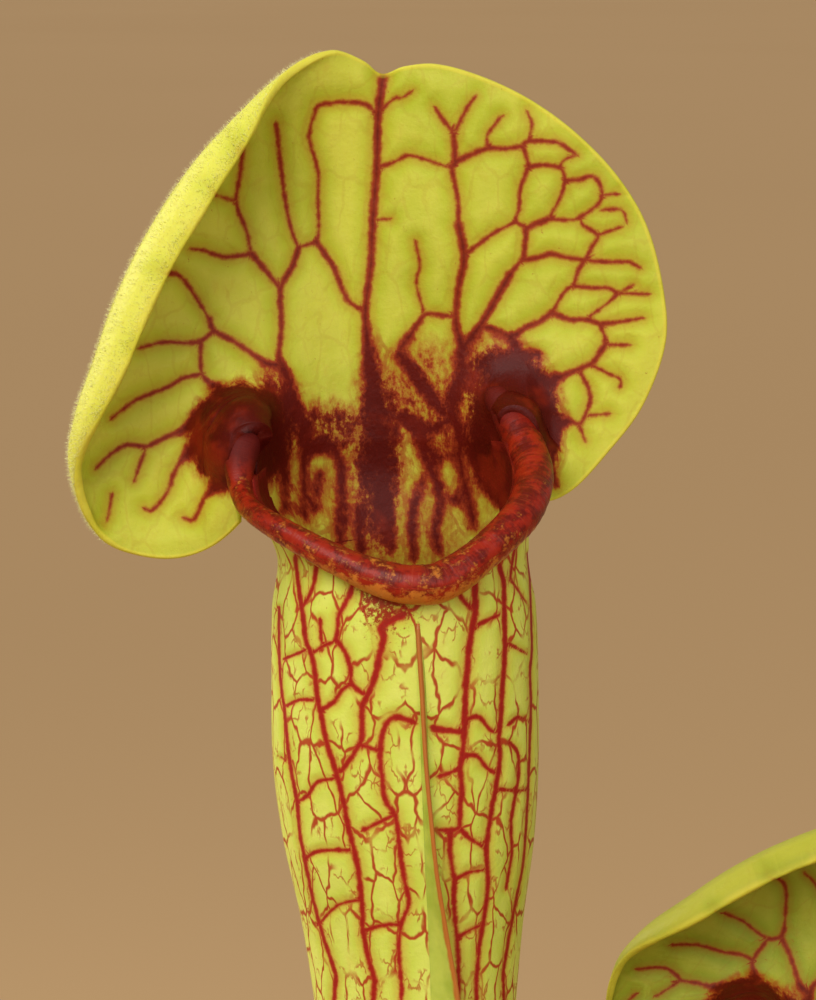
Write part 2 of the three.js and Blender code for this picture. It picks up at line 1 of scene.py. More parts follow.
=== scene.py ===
# The looks of the potted pitcher plant. Leaves are worked out in millimetres, each in its own frame as in
# the CAD source, and turned into metres in the plant's frame when a mesh is made.

import math

import bpy
import bmesh
import numpy as np
from mathutils import Euler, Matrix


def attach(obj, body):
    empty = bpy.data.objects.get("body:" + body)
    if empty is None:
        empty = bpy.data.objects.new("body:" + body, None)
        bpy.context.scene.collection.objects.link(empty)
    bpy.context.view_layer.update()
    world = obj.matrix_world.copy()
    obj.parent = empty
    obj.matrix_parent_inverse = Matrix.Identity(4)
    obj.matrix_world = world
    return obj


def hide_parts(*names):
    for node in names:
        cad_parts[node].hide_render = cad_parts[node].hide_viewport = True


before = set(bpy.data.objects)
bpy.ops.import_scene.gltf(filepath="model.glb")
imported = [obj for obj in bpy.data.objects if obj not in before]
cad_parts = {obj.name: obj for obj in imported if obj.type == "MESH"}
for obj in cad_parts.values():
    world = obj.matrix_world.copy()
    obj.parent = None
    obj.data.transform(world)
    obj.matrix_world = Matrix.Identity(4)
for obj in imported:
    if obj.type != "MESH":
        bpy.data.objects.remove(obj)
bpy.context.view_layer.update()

MM = 0.001
SOIL_Z = 93.0                 # height of the growing medium at the pot's wall
SOIL_CROWN = 2.5
POT_HEIGHT = 105.0
POT_RIM_RADIUS = 70.0
POT_MOUTH_RADIUS = 67.0
POT_BASE_RADIUS = 52.0
POT_WALL = 2.0
POT_BAND = 13.0
POT_FOOT = 3.0
POT_FOOT_WIDTH = 5.0
POT_RIM_WIDTH = 3.2
DRAIN_RADIUS = 4.5
DRAIN_CIRCLE = 31.0
DRAIN_COUNT = 6

MAIN_LENGTH = 182.0
LEAF_WALL = 1.1
LOBE_END_THICKNESS = 0.66
FOOT_DEPTH = 8.0
HOLLOW_SHARE = 0.8
FRONT_TURN = 5.0
TUBE_DEPTH = 0.95             # the tube's depth as a share of its width
SPOUT = 0.07
SPOUT_HALF_ARC = 22.0
HOOD_HALF_ARC = 78.0
HOOD_FULLNESS = 0.36
LOBE_FULLNESS = 0.66
HOOD_ENDS = (-0.955, 0.965)
HOOD_SKIRT = 30.0             # how far the hood's sheet runs on below the rim, inside the tube
HOOD_EDGE_TURNS = np.radians([60, 25, -10, -45])
MARGIN = 2.4                  # least width of the hood's margin, beyond where it starts to curl
HOOD_PUFF = 0.3               # how far the cells between the veins stand out
HOOD_RIPPLE = 0.35
TUBE_PUFF = 0.13
HOOD_HUB = np.array([-1.8, 10.0, 21.9])     # the hood's edge points away from here
LIP_OUT = 0.55
LIP_DOWN = 0.2
LIP_MIDDLE_X = -1.5
WING_HALF_THICKNESS = 0.42
DENSE_FROM = -50.0            # the tube's mesh is finer above this height
FOOT_FADE = (-150, -42)       # heights between which a leaf turns the darker green of its foot
YOUNG_FOOT = (-6.0, -4.5)
YOUNG_TIP = (-13.0, -17.0)
YOUNG_LENGTH = 74.0
YOUNG_RADIUS = 3.1
YOUNG_VEIN_STEP = 45.0        # degrees between its veins
RADIUS_DEGREES = 57.0         # degrees of a circle that are about as long as its radius
RHIZOME_HALF_LENGTH = 21
RHIZOME_RADIUS = 8
RHIZOME_DEPTH = 4             # from the growing medium's height down to its middle
PEAT_RADIUS = 62
PEAT_GAP = 0.5                # between the growing medium and the pot's wall
GRAIN_REACH = 58.5            # how far from the pot's axis grains of the medium lie
MOSS_REACH = 57.0
MOSS_TUFTS = 230
TUFT_STRANDS = 7
MAIN_HAIRS = 26000
BAND_HAIRS = 17000
HAIR_LENGTHS = (0.3, 0.75)
HAIR_THICKNESS = 0.024
HAIR_SPREAD = 0.28

# How far a vein's stored distance may miss its middle, on the tallest leaf and on the others.
FIELD_SLACK = 0.12
FIELD_SLACK_COARSE = 0.35
INSIDE_GAP = 1.7              # distance to the nearest vein that stands for the tube's plain inside
TUBE_VEIN_EXTRA = 0.08
NET_MM_PER_DEGREE = 0.24
VEIN_TAPER = 0.72
SEEN_ARC = 86                 # degrees from the front that the photograph shows of the tube
SEEN_TO = -39                 # lowest height that it shows
MIRROR_STEP = 27.0

# The tallest leaf's tube: height from the front of the lip, half width, and side shift of the middle.
TUBE = [
    [-190, 2.9, 0], [-175, 2.8, 0], [-150, 3.3, 0], [-120, 4.4, 0], [-95, 5.9, 0], [-75, 7.4, 0],
    [-58, 9.1, 0], [-41, 10.9, 0.2], [-34, 11.8, 0.2], [-26, 13.2, 0.1], [-18, 13.95, 0], [-9, 14, 0],
    [-1, 13.8, -0.1], [4, 13.15, -0.15], [7, 13.6, -0.7], [10.5, 14.5, -1.7], [14, 14.5, -2.2],
    [18, 13.8, -2.3],
]

# Its rolled lip: degrees round from the wing, height, and radius of the roll.
LIP = [
    [-120, 18.2, 1], [-113, 17, 2], [-106, 15.6, 2.15], [-100, 13.6, 1.6], [-94, 11.8, 1.3],
    [-86, 10.7, 1.2], [-60, 9, 1.3], [-30, 6, 1.6], [-10, 4.3, 1.95], [0, 4, 2.05], [10, 4.3, 2.05],
    [30, 6.7, 1.9], [60, 10.6, 1.95], [85, 14, 2.1], [98, 16.4, 2.05], [108, 18.6, 1.9], [116, 20.2, 1.6],
    [122, 21.2, 1],
]
HOOD_BASE = [[-1, 12.6], [-0.5, 14.5], [0, 15], [0.5, 15.5], [1, 16]]
HOOD_RISE = [
    [-1, 7], [-0.93, 11], [-0.82, 14], [-0.6, 15], [-0.3, 15], [0, 16],
    [0.3, 14], [0.6, 11.5], [0.82, 9], [0.93, 7], [1, 5],
]

# The hood's outline: place round the edge, x, y, z, turn to the front, radius and angle of the curl.
HOOD_EDGE = [
    [-1, -16.1, 0.5, 10.2, 0, 0, 0], [-0.955, -17.5, 2.5, 7.6, 0, 0, 0], [-0.91, -20.5, 4, 4.9, 0, 0, 0],
    [-0.86, -24.2, 5, 3.5, 4, 0.5, 10], [-0.8, -28.3, 5.5, 3.7, 10, 1, 30],
    [-0.74, -31.7, 5.5, 5.2, 18, 1.6, 50], [-0.68, -33.8, 5.5, 8.5, 26, 2.4, 70],
    [-0.61, -35.1, 5.5, 13.6, 33, 3.4, 95],
    [-0.54, -34.4, 5.5, 18.7, 38, 4.6, 112], [-0.46, -32.4, 6, 24.5, 38, 5.2, 118],
    [-0.38, -30.1, 7, 31, 38, 5.4, 120], [-0.3, -26.7, 8, 37.9, 38, 5.4, 120],
    [-0.22, -21.8, 9.5, 45.2, 38, 5.3, 118], [-0.15, -16.3, 11, 51.1, 36, 4.4, 105],
    [-0.1, -11.6, 12, 55.2, 24, 2, 64], [-0.06, -7.8, 13, 56.8, 12, 1.2, 50],
    [-0.03, -4.6, 14, 55.7, 4, 0.5, 10], [0, -2.5, 14.5, 54.2, 0, 0, 0],
    [0.03, -0.1, 14, 55, 0, 0, 0], [0.07, 3.3, 13, 55.3, 0, 0, 0],
    [0.13, 8.2, 12, 54, 0, 0, 0], [0.19, 13.1, 11.3, 51.7, 0, 0, 0], [0.26, 17.9, 10.8, 48.3, 0, 0, 0],
    [0.34, 22.4, 10.4, 43.7, 0, 0, 0], [0.42, 25.6, 10, 38.4, 0, 0, 0], [0.51, 27.4, 9.5, 31.6, 0, 0, 0],
    [0.6, 27.6, 9, 25.8, 0, 0, 0], [0.7, 25.1, 8.5, 19.1, 0, 0, 0], [0.79, 21.2, 7.5, 14.1, 0, 0, 0],
    [0.87, 17.8, 6.3, 10.7, 0, 0, 0], [0.94, 15, 4.5, 9.7, 0, 0, 0], [1, 13.4, 2.2, 11.3, 0, 0, 0],
]

# The wing down the front of the tube: height, how far it stands out, degrees to its edge.
WING = [
    [-168, 0.6, 8], [-150, 1.6, 15], [-110, 3.6, 22], [-75, 4.2, 24], [-42, 3, 19.5], [-34, 2.3, 15.5],
    [-26, 1.8, 11], [-15, 1.2, 8], [-2, 0.9, 5.5],
]

# The photograph's view of the tallest leaf, in that leaf's frame and in the photograph's pixels.
PHOTO_MIDDLE = (408.0, 500.0)
PHOTO_HEIGHT = 1000.0
PIXELS_PER_MM = 9.5
VIEW_DISTANCE = 450.0
VIEW_ELEVATION = 8.0
VIEW_TARGET = np.array([0.316, 0.0, 10.316])
FOCAL_PIXELS = PIXELS_PER_MM * VIEW_DISTANCE
SENSOR = 36.0
LIGHT_TARGET = np.array([-0.012, 0.014, 0.29])

# Veins traced on the photograph: half width in pixels, then x and y of each corner in pixels.
TRUNK, BRANCH, TWIG, FAINT = 5.2, 4.0, 3.1, 2.4

# The hood's inner face.
HOOD_VEINS = [
    [TRUNK, 383, 78, 378, 114, 377, 163, 373, 217, 371, 265, 366, 306, 366, 328, 372, 380, 378, 440,
     384, 500, 392, 550],
    [TWIG, 378, 114, 365, 104, 347, 102, 319, 105, 315, 113, 309, 138, 318, 170, 318, 200, 319, 230,
     316, 242],
    [BRANCH, 316, 242, 335, 269, 347, 299, 365, 312],
    [TWIG, 316, 242, 297, 248],
    [TWIG, 276, 124, 280, 159, 285, 200, 291, 230, 298, 248],
    [BRANCH, 298, 248, 292, 267, 280, 289, 281, 328, 279, 356, 288, 378, 292, 400],
    [TWIG, 242, 147, 241, 168, 236, 202, 246, 230, 251, 254],
    [BRANCH, 251, 254, 267, 273, 280, 289],
    [FAINT, 236, 202, 213, 194],
    [TWIG, 251, 254, 225, 257, 202, 250, 191, 249],
    [TWIG, 163, 273, 180, 276, 196, 298, 210, 320],
    [BRANCH, 210, 320, 214, 330, 234, 341, 253, 354, 266, 363, 279, 365],
    [TWIG, 214, 330, 201, 341, 184, 343, 164, 342, 140, 348],
    [TWIG, 201, 341, 202, 374, 216, 387, 227, 398],
    [TWIG, 202, 374, 186, 377, 168, 387, 136, 400, 112, 418],
    [BRANCH, 216, 406, 201, 417, 186, 428, 164, 438, 147, 447],
    [TWIG, 147, 447, 127, 445, 112, 453, 96, 468],
    [FAINT, 145, 450, 140, 465, 134, 481],
    [TWIG, 207, 443, 188, 452, 175, 471, 168, 491, 153, 510, 145, 509],
    [TWIG, 229, 482, 214, 489, 203, 499, 194, 519, 184, 518],
    [FAINT, 112, 495, 107, 521],
    [FAINT, 378, 113, 395, 98, 402, 98, 412, 91],
    [TWIG, 377, 166, 390, 164, 407, 155],
    [FAINT, 407, 155, 421, 158, 451, 168],
    [FAINT, 373, 220, 390, 219],
    [BRANCH, 454, 134, 455, 162, 452, 169, 458, 199, 459, 225],
    [TRUNK, 459, 225, 464, 251, 463, 268, 458, 290, 456, 322, 461, 343, 462, 372],
    [TWIG, 454, 134, 435, 108],
    [TWIG, 454, 134, 466, 110, 475, 97],
    [BRANCH, 455, 162, 473, 154, 489, 148, 505, 149, 523, 146],
    [TWIG, 523, 146, 528, 141, 555, 142, 568, 149, 577, 155],
    [FAINT, 489, 148, 487, 136, 499, 119, 503, 116],
    [FAINT, 528, 141, 532, 125, 527, 112],
    [TWIG, 523, 146, 526, 156, 528, 167, 521, 186, 519, 210, 516, 221, 527, 228],
    [TWIG, 528, 167, 544, 165, 560, 168, 565, 180, 561, 195, 549, 219],
    [FAINT, 560, 168, 564, 160, 577, 155],
    [TWIG, 565, 180, 579, 180, 592, 176, 601, 186, 601, 199, 596, 206, 579, 218, 566, 220, 549, 219],
    [FAINT, 601, 195, 618, 194],
    [BRANCH, 549, 219, 527, 228, 526, 238, 524, 256, 520, 262, 510, 275],
    [TRUNK, 510, 275, 499, 294, 488, 314, 477, 330, 466, 343, 461, 356],
    [TWIG, 467, 253, 484, 240, 499, 230, 516, 222],
    [BRANCH, 524, 260, 538, 258, 551, 254, 568, 258, 585, 260],
    [TWIG, 585, 260, 607, 262, 629, 262, 640, 268],
    [TWIG, 585, 260, 592, 247, 598, 235, 583, 225, 581, 219],
    [FAINT, 598, 235, 609, 231, 622, 227],
    [FAINT, 603, 210, 622, 210, 627, 223],
    [TWIG, 585, 260, 577, 273, 574, 284, 564, 292, 552, 312],
    [TWIG, 574, 286, 594, 288, 609, 288, 619, 293, 648, 294],
    [FAINT, 619, 293, 605, 305, 590, 316],
    [FAINT, 619, 293, 633, 285],
    [BRANCH, 552, 312, 540, 321, 525, 328, 512, 336, 501, 332, 488, 327, 477, 329],
    [BRANCH, 552, 313, 568, 319, 588, 320, 600, 324],
    [TWIG, 600, 324, 620, 322, 642, 318],
    [BRANCH, 512, 336, 515, 348, 512, 365, 511, 385, 520, 395],
    [FAINT, 517, 354, 538, 354],
    [TWIG, 600, 324, 605, 337, 606, 344, 629, 345],
    [BRANCH, 606, 344, 594, 361, 588, 365, 572, 372, 555, 379, 542, 387, 533, 395],
    [FAINT, 590, 364, 607, 373, 620, 379, 620, 387],
    [TWIG, 581, 374, 588, 387, 590, 400, 585, 415, 580, 424, 568, 421, 555, 424, 540, 424],
    [FAINT, 580, 426, 585, 441],
    [FAINT, 590, 415, 609, 414],
    [TWIG, 552, 428, 548, 452, 549, 473, 559, 486],
    [TWIG, 401, 347, 412, 332, 425, 315, 440, 315, 453, 317],
    [FAINT, 416, 242, 420, 264, 416, 284, 423, 310],
]

# Red lines down the column behind the mouth, where the hood runs into the tube.
COLUMN_VEINS = [
    [BRANCH, 304, 455, 304, 490, 305, 520],
    [BRANCH, 307, 450, 325, 447, 340, 460, 342, 490, 340, 545],
    [TWIG, 320, 475, 317, 490, 315, 507],
    [TWIG, 340, 520, 352, 512, 362, 512],
    [BRANCH, 268, 400, 272, 435, 284, 465, 285, 512],
    [BRANCH, 292, 400, 302, 425, 305, 455],
    [BRANCH, 462, 372, 452, 405, 460, 435, 460, 460, 467, 492, 474, 525],
    [BRANCH, 400, 355, 425, 388, 447, 415],
    [BRANCH, 402, 417, 420, 430, 427, 460, 440, 490, 440, 508, 434, 535, 441, 552],
    [TWIG, 440, 505, 457, 500, 470, 505],
    [BRANCH, 470, 450, 480, 470, 490, 490, 500, 502],
    [TWIG, 422, 485, 414, 505, 412, 535, 414, 560],
    [TWIG, 362, 512, 358, 535, 364, 555],
    [TWIG, 420, 430, 436, 428, 452, 418],
    [TWIG, 427, 460, 444, 452, 460, 458],
]

# Veins of the tube's outer face.
TUBE_VEINS = [
    [BRANCH, 279, 607, 279, 650, 281, 685, 285, 715, 288, 750, 293, 780, 297, 802, 300, 834, 305, 860,
     312, 895, 323, 936, 334, 969, 343, 1000],
    [BRANCH, 295, 557, 297, 572, 299, 589, 303, 618, 306, 641, 311, 654, 315, 672, 317, 696, 322, 719,
     328, 748, 336, 771, 343, 800, 349, 830, 358, 869, 362, 906, 363, 930, 369, 960, 380, 1000],
    [TWIG, 317, 563, 313, 587, 304, 605],
    [TWIG, 354, 574, 351, 592, 343, 607, 338, 618, 336, 639, 323, 646, 312, 654],
    [TWIG, 336, 639, 345, 652, 351, 670, 351, 683, 362, 693],
    [BRANCH, 403, 615, 382, 626, 384, 637, 380, 654, 375, 676, 369, 693, 362, 706, 362, 724, 361, 741,
     351, 758, 341, 771],
    [FAINT, 361, 745, 371, 748, 380, 752],
    [TWIG, 413, 722, 395, 717, 386, 724, 382, 737, 380, 758, 382, 776, 385, 800, 395, 815, 399, 841,
     403, 873, 409, 902, 401, 925, 399, 956, 403, 1000],
    [BRANCH, 477, 570, 475, 585, 475, 615, 471, 635, 468, 659, 466, 685, 465, 711, 464, 737, 462, 758,
     460, 769, 462, 789, 460, 811, 460, 828],
    [TWIG, 460, 828, 451, 830, 438, 830],
    [TWIG, 451, 830, 450, 852, 454, 878, 454, 908, 457, 938, 458, 954, 460, 1000],
    [TWIG, 460, 828, 468, 837, 484, 847],
    [TWIG, 455, 585, 460, 596, 471, 609],
    [BRANCH, 497, 552, 501, 572, 504, 585, 504, 607, 505, 637, 504, 667, 502, 693, 501, 715, 499, 737,
     500, 758, 497, 780, 492, 808, 488, 834, 486, 849, 488, 884, 484, 917, 479, 949, 475, 1000],
    [TWIG, 516, 542, 512, 563, 510, 581],
    [BRANCH, 527, 552, 530, 585, 531, 613, 532, 650, 530, 672, 531, 704, 530, 737, 529, 769, 527, 812,
     523, 865, 517, 895, 508, 943, 499, 1000],
    [FAINT, 512, 581, 529, 607],
    [TWIG, 284, 659, 306, 650],
    [TWIG, 286, 706, 299, 700, 312, 700],
    [TWIG, 297, 802, 308, 795, 317, 782, 332, 779],
    [TWIG, 305, 860, 315, 852, 334, 850, 349, 850],
    [TWIG, 323, 709, 334, 702, 341, 691, 349, 685],
    [TWIG, 479, 624, 499, 615],
    [TWIG, 468, 719, 479, 717, 490, 730, 497, 732],
    [TWIG, 466, 755, 477, 756, 486, 767, 496, 774],
    [BRANCH, 434, 728, 442, 730, 462, 732],
    [TWIG, 440, 776, 460, 769],
    [TWIG, 509, 724, 518, 717, 529, 722],
    [TWIG, 499, 789, 516, 791, 528, 789],
    [TWIG, 510, 743, 518, 754, 518, 780, 511, 821, 512, 850, 509, 871, 506, 889],
    [TWIG, 510, 644, 527, 654],
    [FAINT, 281, 757, 291, 765],
    [FAINT, 318, 925, 338, 905, 360, 900],
    [FAINT, 363, 830, 380, 822, 394, 815],
    [FAINT, 366, 930, 384, 925, 401, 925],
    [FAINT, 454, 880, 470, 872, 487, 870],
    [FAINT, 457, 938, 470, 930, 482, 925],
    [FAINT, 320, 620, 322, 650],
]

# Where the inner face is red: middle, reach across and down in pixels, and how far veins thicken there in mm.
RED_PATCHES = [
    [(240, 438), (56, 60), 2.3], [(272, 420), (38, 60), 1.2], [(330, 428), (66, 34), 0.86],
    [(378, 455), (34, 130), 1.05], [(432, 402), (66, 84), 0.66], [(488, 385), (36, 56), 1.2],
    [(514, 425), (54, 84), 2.3], [(385, 515), (170, 90), 0.34],
]

# Where the inner face bulges towards the front beside the lip's ends: middle, reach and height.
SHOULDERS = [[(236, 434), (44, 52), 2.1], [(516, 418), (30, 44), 1.0]]


def srgb(red, green, blue):
    """A linear colour from the 0 to 255 values that a screen shows."""
    shares = [value / 255.0 for value in (red, green, blue)]
    return tuple(v / 12.92 if v <= 0.04045 else ((v + 0.055) / 1.055) ** 2.4 for v in shares) + (1.0,)


def xyz(x, y, z):
    return np.stack(np.broadcast_arrays(x, y, z), axis=-1)


def circle(sides):
    return np.linspace(0, 2 * np.pi, sides + 1)[:-1]


def smoothstep(values, low, high):
    t = np.clip((np.asarray(values, float) - low) / (high - low), 0, 1)
    return t * t * (3 - 2 * t)


def along(rows, keys):
    """A smooth curve through rows of [key, value...], found at each key."""
    rows = np.asarray(rows, float)
    keys = np.asarray(keys, float)
    last = len(rows) - 1
    x = np.clip(keys, rows[0, 0], rows[-1, 0])
    i = np.clip(np.searchsorted(rows[:, 0], x, side="right") - 1, 0, last - 1)

    def slope(k):
        before = rows[np.maximum(k - 1, 0)]
        after = rows[np.minimum(k + 1, last)]
        return (after[..., 1:] - before[..., 1:]) / (after[..., :1] - before[..., :1])

    start = rows[i]
    end = rows[i + 1]
    h = end[..., :1] - start[..., :1]
    t = (x[..., None] - start[..., :1]) / h
    return ((2 * t ** 3 - 3 * t ** 2 + 1) * start[..., 1:] + (t ** 3 - 2 * t ** 2 + t) * h * slope(i)
            + (3 * t ** 2 - 2 * t ** 3) * end[..., 1:] + (t ** 3 - t ** 2) * h * slope(i + 1))


def unit(vectors):
    return vectors / np.maximum(np.linalg.norm(vectors, axis=-1, keepdims=True), 1e-9)


def noise(points, size, seed=0):
    """Smooth noise from -1 to 1 whose features have one size."""
    q = np.asarray(points, float) / size + 31.7 * seed
    cell = np.floor(q).astype(np.int64)
    f = q - cell
    f = f * f * (3 - 2 * f)
    total = 0.0
    for corner in np.ndindex(2, 2, 2):
        n = (cell + corner) * [73856093, 19349663, 83492791]
        n = n[..., 0] ^ n[..., 1] ^ n[..., 2]
        n = ((n ^ (n >> 13)) * 1274126177) & 0x7FFFFFFF
        weight = np.where(corner, f, 1 - f).prod(-1)
        total = total + weight * (n / 0x3FFFFFFF - 1.0)
    return total


def photo_axes():
    tilt = math.radians(VIEW_ELEVATION)
    right = np.array([1.0, 0.0, 0.0])
    up = np.array([0.0, math.sin(tilt), math.cos(tilt)])
    forward = np.array([0.0, math.cos(tilt), -math.sin(tilt)])
    return right, up, forward


def to_pixels(points):
    """Where points of the tallest leaf's frame show in the photograph."""
    right, up, forward = photo_axes()
    ray = points - (VIEW_TARGET - forward * VIEW_DISTANCE)
    depth = ray @ forward
    return np.stack([PHOTO_MIDDLE[0] + FOCAL_PIXELS * (ray @ right) / depth,
                     PHOTO_MIDDLE[1] - FOCAL_PIXELS * (ray @ up) / depth], axis=-1)


def vein_field(pixels, veins):
    """For each pixel, the nearest vein's side (signed), distance and half width, in millimetres."""
    pieces = []
    for width, *corners in veins:
        corners = np.reshape(corners, (-1, 2))
        last = len(corners) - 1
        line = along(np.column_stack([np.arange(last + 1), corners]), np.linspace(0, last, 3 * last + 1))
        widths = width * np.linspace(1.0, VEIN_TAPER, 3 * last + 1)[:, None]
        pieces.append(np.hstack([line[:-1], line[1:], widths[:-1], widths[1:]]))
    table = np.concatenate(pieces).astype(np.float32)
    a = table[:, :2]
    ab = table[:, 2:4] - a
    wa, wb = table[:, 4:].T
    length2 = np.maximum((ab ** 2).sum(1), 1e-6)
    flat = pixels.reshape(-1, 2).astype(np.float32)
    found = np.empty((3, len(flat)), np.float32)
    for first in range(0, len(flat), 4000):
        part = flat[first:first + 4000, None] - a
        t = np.clip((part * ab).sum(-1) / length2, 0, 1)
        away = np.sqrt(((part - t[..., None] * ab) ** 2).sum(-1))
        wide = wa + (wb - wa) * t
        pick = (away - wide).argmin(1)
        row = np.arange(len(pick))
        turn = np.sign(ab[pick, 0] * part[row, pick, 1] - ab[pick, 1] * part[row, pick, 0])
        found[:, first:first + 4000] = turn * away[row, pick], away[row, pick], wide[row, pick]
    return found.reshape(3, *pixels.shape[:-1]) / PIXELS_PER_MM


def patches(pixels, spots):
    """The strongest of some soft round spots at each pixel."""
    found = np.zeros(pixels.shape[:-1])
    for middle, reach, strength in spots:
        far = np.sqrt((((pixels - middle) / reach) ** 2).sum(-1))
        found = np.maximum(found, strength * (1 - smoothstep(far, 0.3, 1.25)))
    return found


class Leaf:
    """An open pitcher in its own frame: z is 0 at the front of the lip, and it faces -Y."""

    def __init__(self, name, foot, run, length, size, turn, hand, tilt):
        self.name = name
        self.foot = foot
        self.run = run
        self.length = length
        self.size = size
        self.turn = turn
        self.hand = hand
        self.tilt = tilt
        self.wall = LEAF_WALL * (0.4 + 0.6 * size)
        self.slack = FIELD_SLACK if size == 1 else FIELD_SLACK_COARSE
        angle = math.radians(-turn)
        self.lean = ((run[1] * math.sin(angle) - run[0] * math.cos(angle)) * hand,
                     -run[0] * math.sin(angle) - run[1] * math.cos(angle))

    def measure(self, z):
        """Heights as they would be on the tallest leaf."""
        return np.where(z < 0, z * MAIN_LENGTH / self.length, z / self.size)

    def height(self, measure):
        return np.where(measure < 0, measure * self.length / MAIN_LENGTH, measure * self.size)

    def centre(self, z):
        shift = along(TUBE, self.measure(z))[..., 1]
        share = np.clip((-z / self.length - 0.06) / 0.94, 0, 1) ** 1.5
        return shift * self.size + self.lean[0] * share, self.lean[1] * share

    def around(self, radius, degrees, z):
        """Points at a radius from the tube's middle, at degrees from the front."""
        cx, cy = self.centre(z)
        angle = np.radians(degrees)
        return xyz(cx + radius * np.sin(angle), cy - TUBE_DEPTH * radius * np.cos(angle), z)

    def ring(self, degrees, z, inset=0.0):
        """Points of the tube's outer face, or as far as the inset inside it."""
        measure = self.measure(z)
        spout = SPOUT * np.exp(-(degrees / SPOUT_HALF_ARC) ** 2) * np.clip((measure + 12) / 14, 0, 1)
        r = along(TUBE, measure)[..., 0] * self.size * (1 + spout) - inset
        return self.around(r, degrees + FRONT_TURN, z)

    def rim(self, degrees):
        """The rim's height: the lip in front, the hood's base behind."""
        beyond = 180 - np.abs(degrees)
        front = along(LIP, degrees)[..., 0]
        back = along(HOOD_BASE, np.sign(degrees) * np.minimum(beyond / HOOD_HALF_ARC, 1))[..., 0]
        share = smoothstep(beyond, HOOD_HALF_ARC, HOOD_HALF_ARC + 8)
        return (back + (front - back) * share) * self.size

    def hood_sheet(self, places, below, rows, curls):
        """The middle of the hood's sheet: a grid over places round the edge, from below the rim outwards."""
        s = self.size
        a = places[:, None]
        degrees = np.where(a < 0, -180 - HOOD_HALF_ARC * a, 180 - HOOD_HALF_ARC * a)
        base_z = along(HOOD_BASE, a)[..., 0] * s
        base = self.ring(degrees, base_z, self.wall / 2)
        edge = along(HOOD_EDGE, a)
        outline = edge[..., :3]
        turn = np.radians(edge[..., 3])[..., None]
        radius = np.maximum(edge[..., 4], 0)[..., None] * s
        sweep = np.radians(np.maximum(edge[..., 5], 0))[..., None] * smoothstep(radius, 0.5, 1.6)
        drop = smoothstep(np.abs(a), 0.78, 0.94)[..., None]
        out = outline - HOOD_HUB
        out[..., 1] = 0
        away = unit(unit(out) * (1 - drop) + np.array([0, 0, -1.0]) * drop)
        front = np.array([0, -1.0, 0])
        ahead = away * np.cos(turn) + front * np.sin(turn)
        inward = -away * np.sin(turn) + front * np.cos(turn)
        reach = np.where(sweep > np.pi / 2 - turn, 1 - np.sin(turn),
                         np.sin(sweep) * np.cos(turn) - (1 - np.cos(sweep)) * np.sin(turn))
        straight = np.maximum(0, MARGIN * s - radius * sweep)
        bend = outline * s - away * radius * reach - ahead * straight
        rise = base.copy()
        rise[..., 2] += along(HOOD_RISE, a)[..., 0] * s
        fullness = HOOD_FULLNESS + (LOBE_FULLNESS - HOOD_FULLNESS) * drop
        hold = bend - ahead * fullness * np.linalg.norm(bend - base, axis=-1, keepdims=True)
        t = rows[None, :, None]
        curve = ((1 - t) ** 3 * base + 3 * (1 - t) ** 2 * t * rise + 3 * (1 - t) * t ** 2 * hold
                 + t ** 3 * bend)
        k = curls[None, :, None]
        curl = (bend + ahead * (radius * np.sin(sweep * k) + straight * k)
                + inward * radius * (1 - np.cos(sweep * k)))
        low = self.ring(degrees, base_z + below[None, :] * s, self.wall / 2)
        return np.concatenate([low, curve, curl], axis=1)

    def place(self, points):
        """Points of this leaf's frame in the plant's frame."""
        x = points[..., 0] * self.hand
        y = points[..., 1]
        z = points[..., 2]
        x, y = swung(x, y, self.turn)
        x, y, z = x + self.run[0], y + self.run[1], z + self.length
        y, z = swung(y, z, self.tilt[0])
        z, x = swung(z, x, self.tilt[1])
        return np.stack([x + self.foot[0], y + self.foot[1], z + SOIL_Z], axis=-1)


def swung(a, b, degrees):
    """Two coordinates after a turn from the first one's axis towards the second's."""
    turn = math.radians(degrees)
    return a * math.cos(turn) - b * math.sin(turn), a * math.sin(turn) + b * math.cos(turn)


MAIN = Leaf("main", (-1, 2), (-11, 12), MAIN_LENGTH, 1, 0, 1, (0, 0))
SECOND = Leaf("second", (9.5, 2.5), (-49, 21), 103, 0.85, -18, 1, (0, 35))
THIRD = Leaf("third", (-11.5, -1), (-9, -9), 88, 0.64, 75, -1, (0, -12))
FOURTH = Leaf("fourth", (4, -4.5), (7, -16), 68, 0.55, -150, 1, (12, 8))


def add_object(name, data):
    thing = bpy.data.objects.new(name, data)
    bpy.context.scene.collection.objects.link(thing)
    return thing


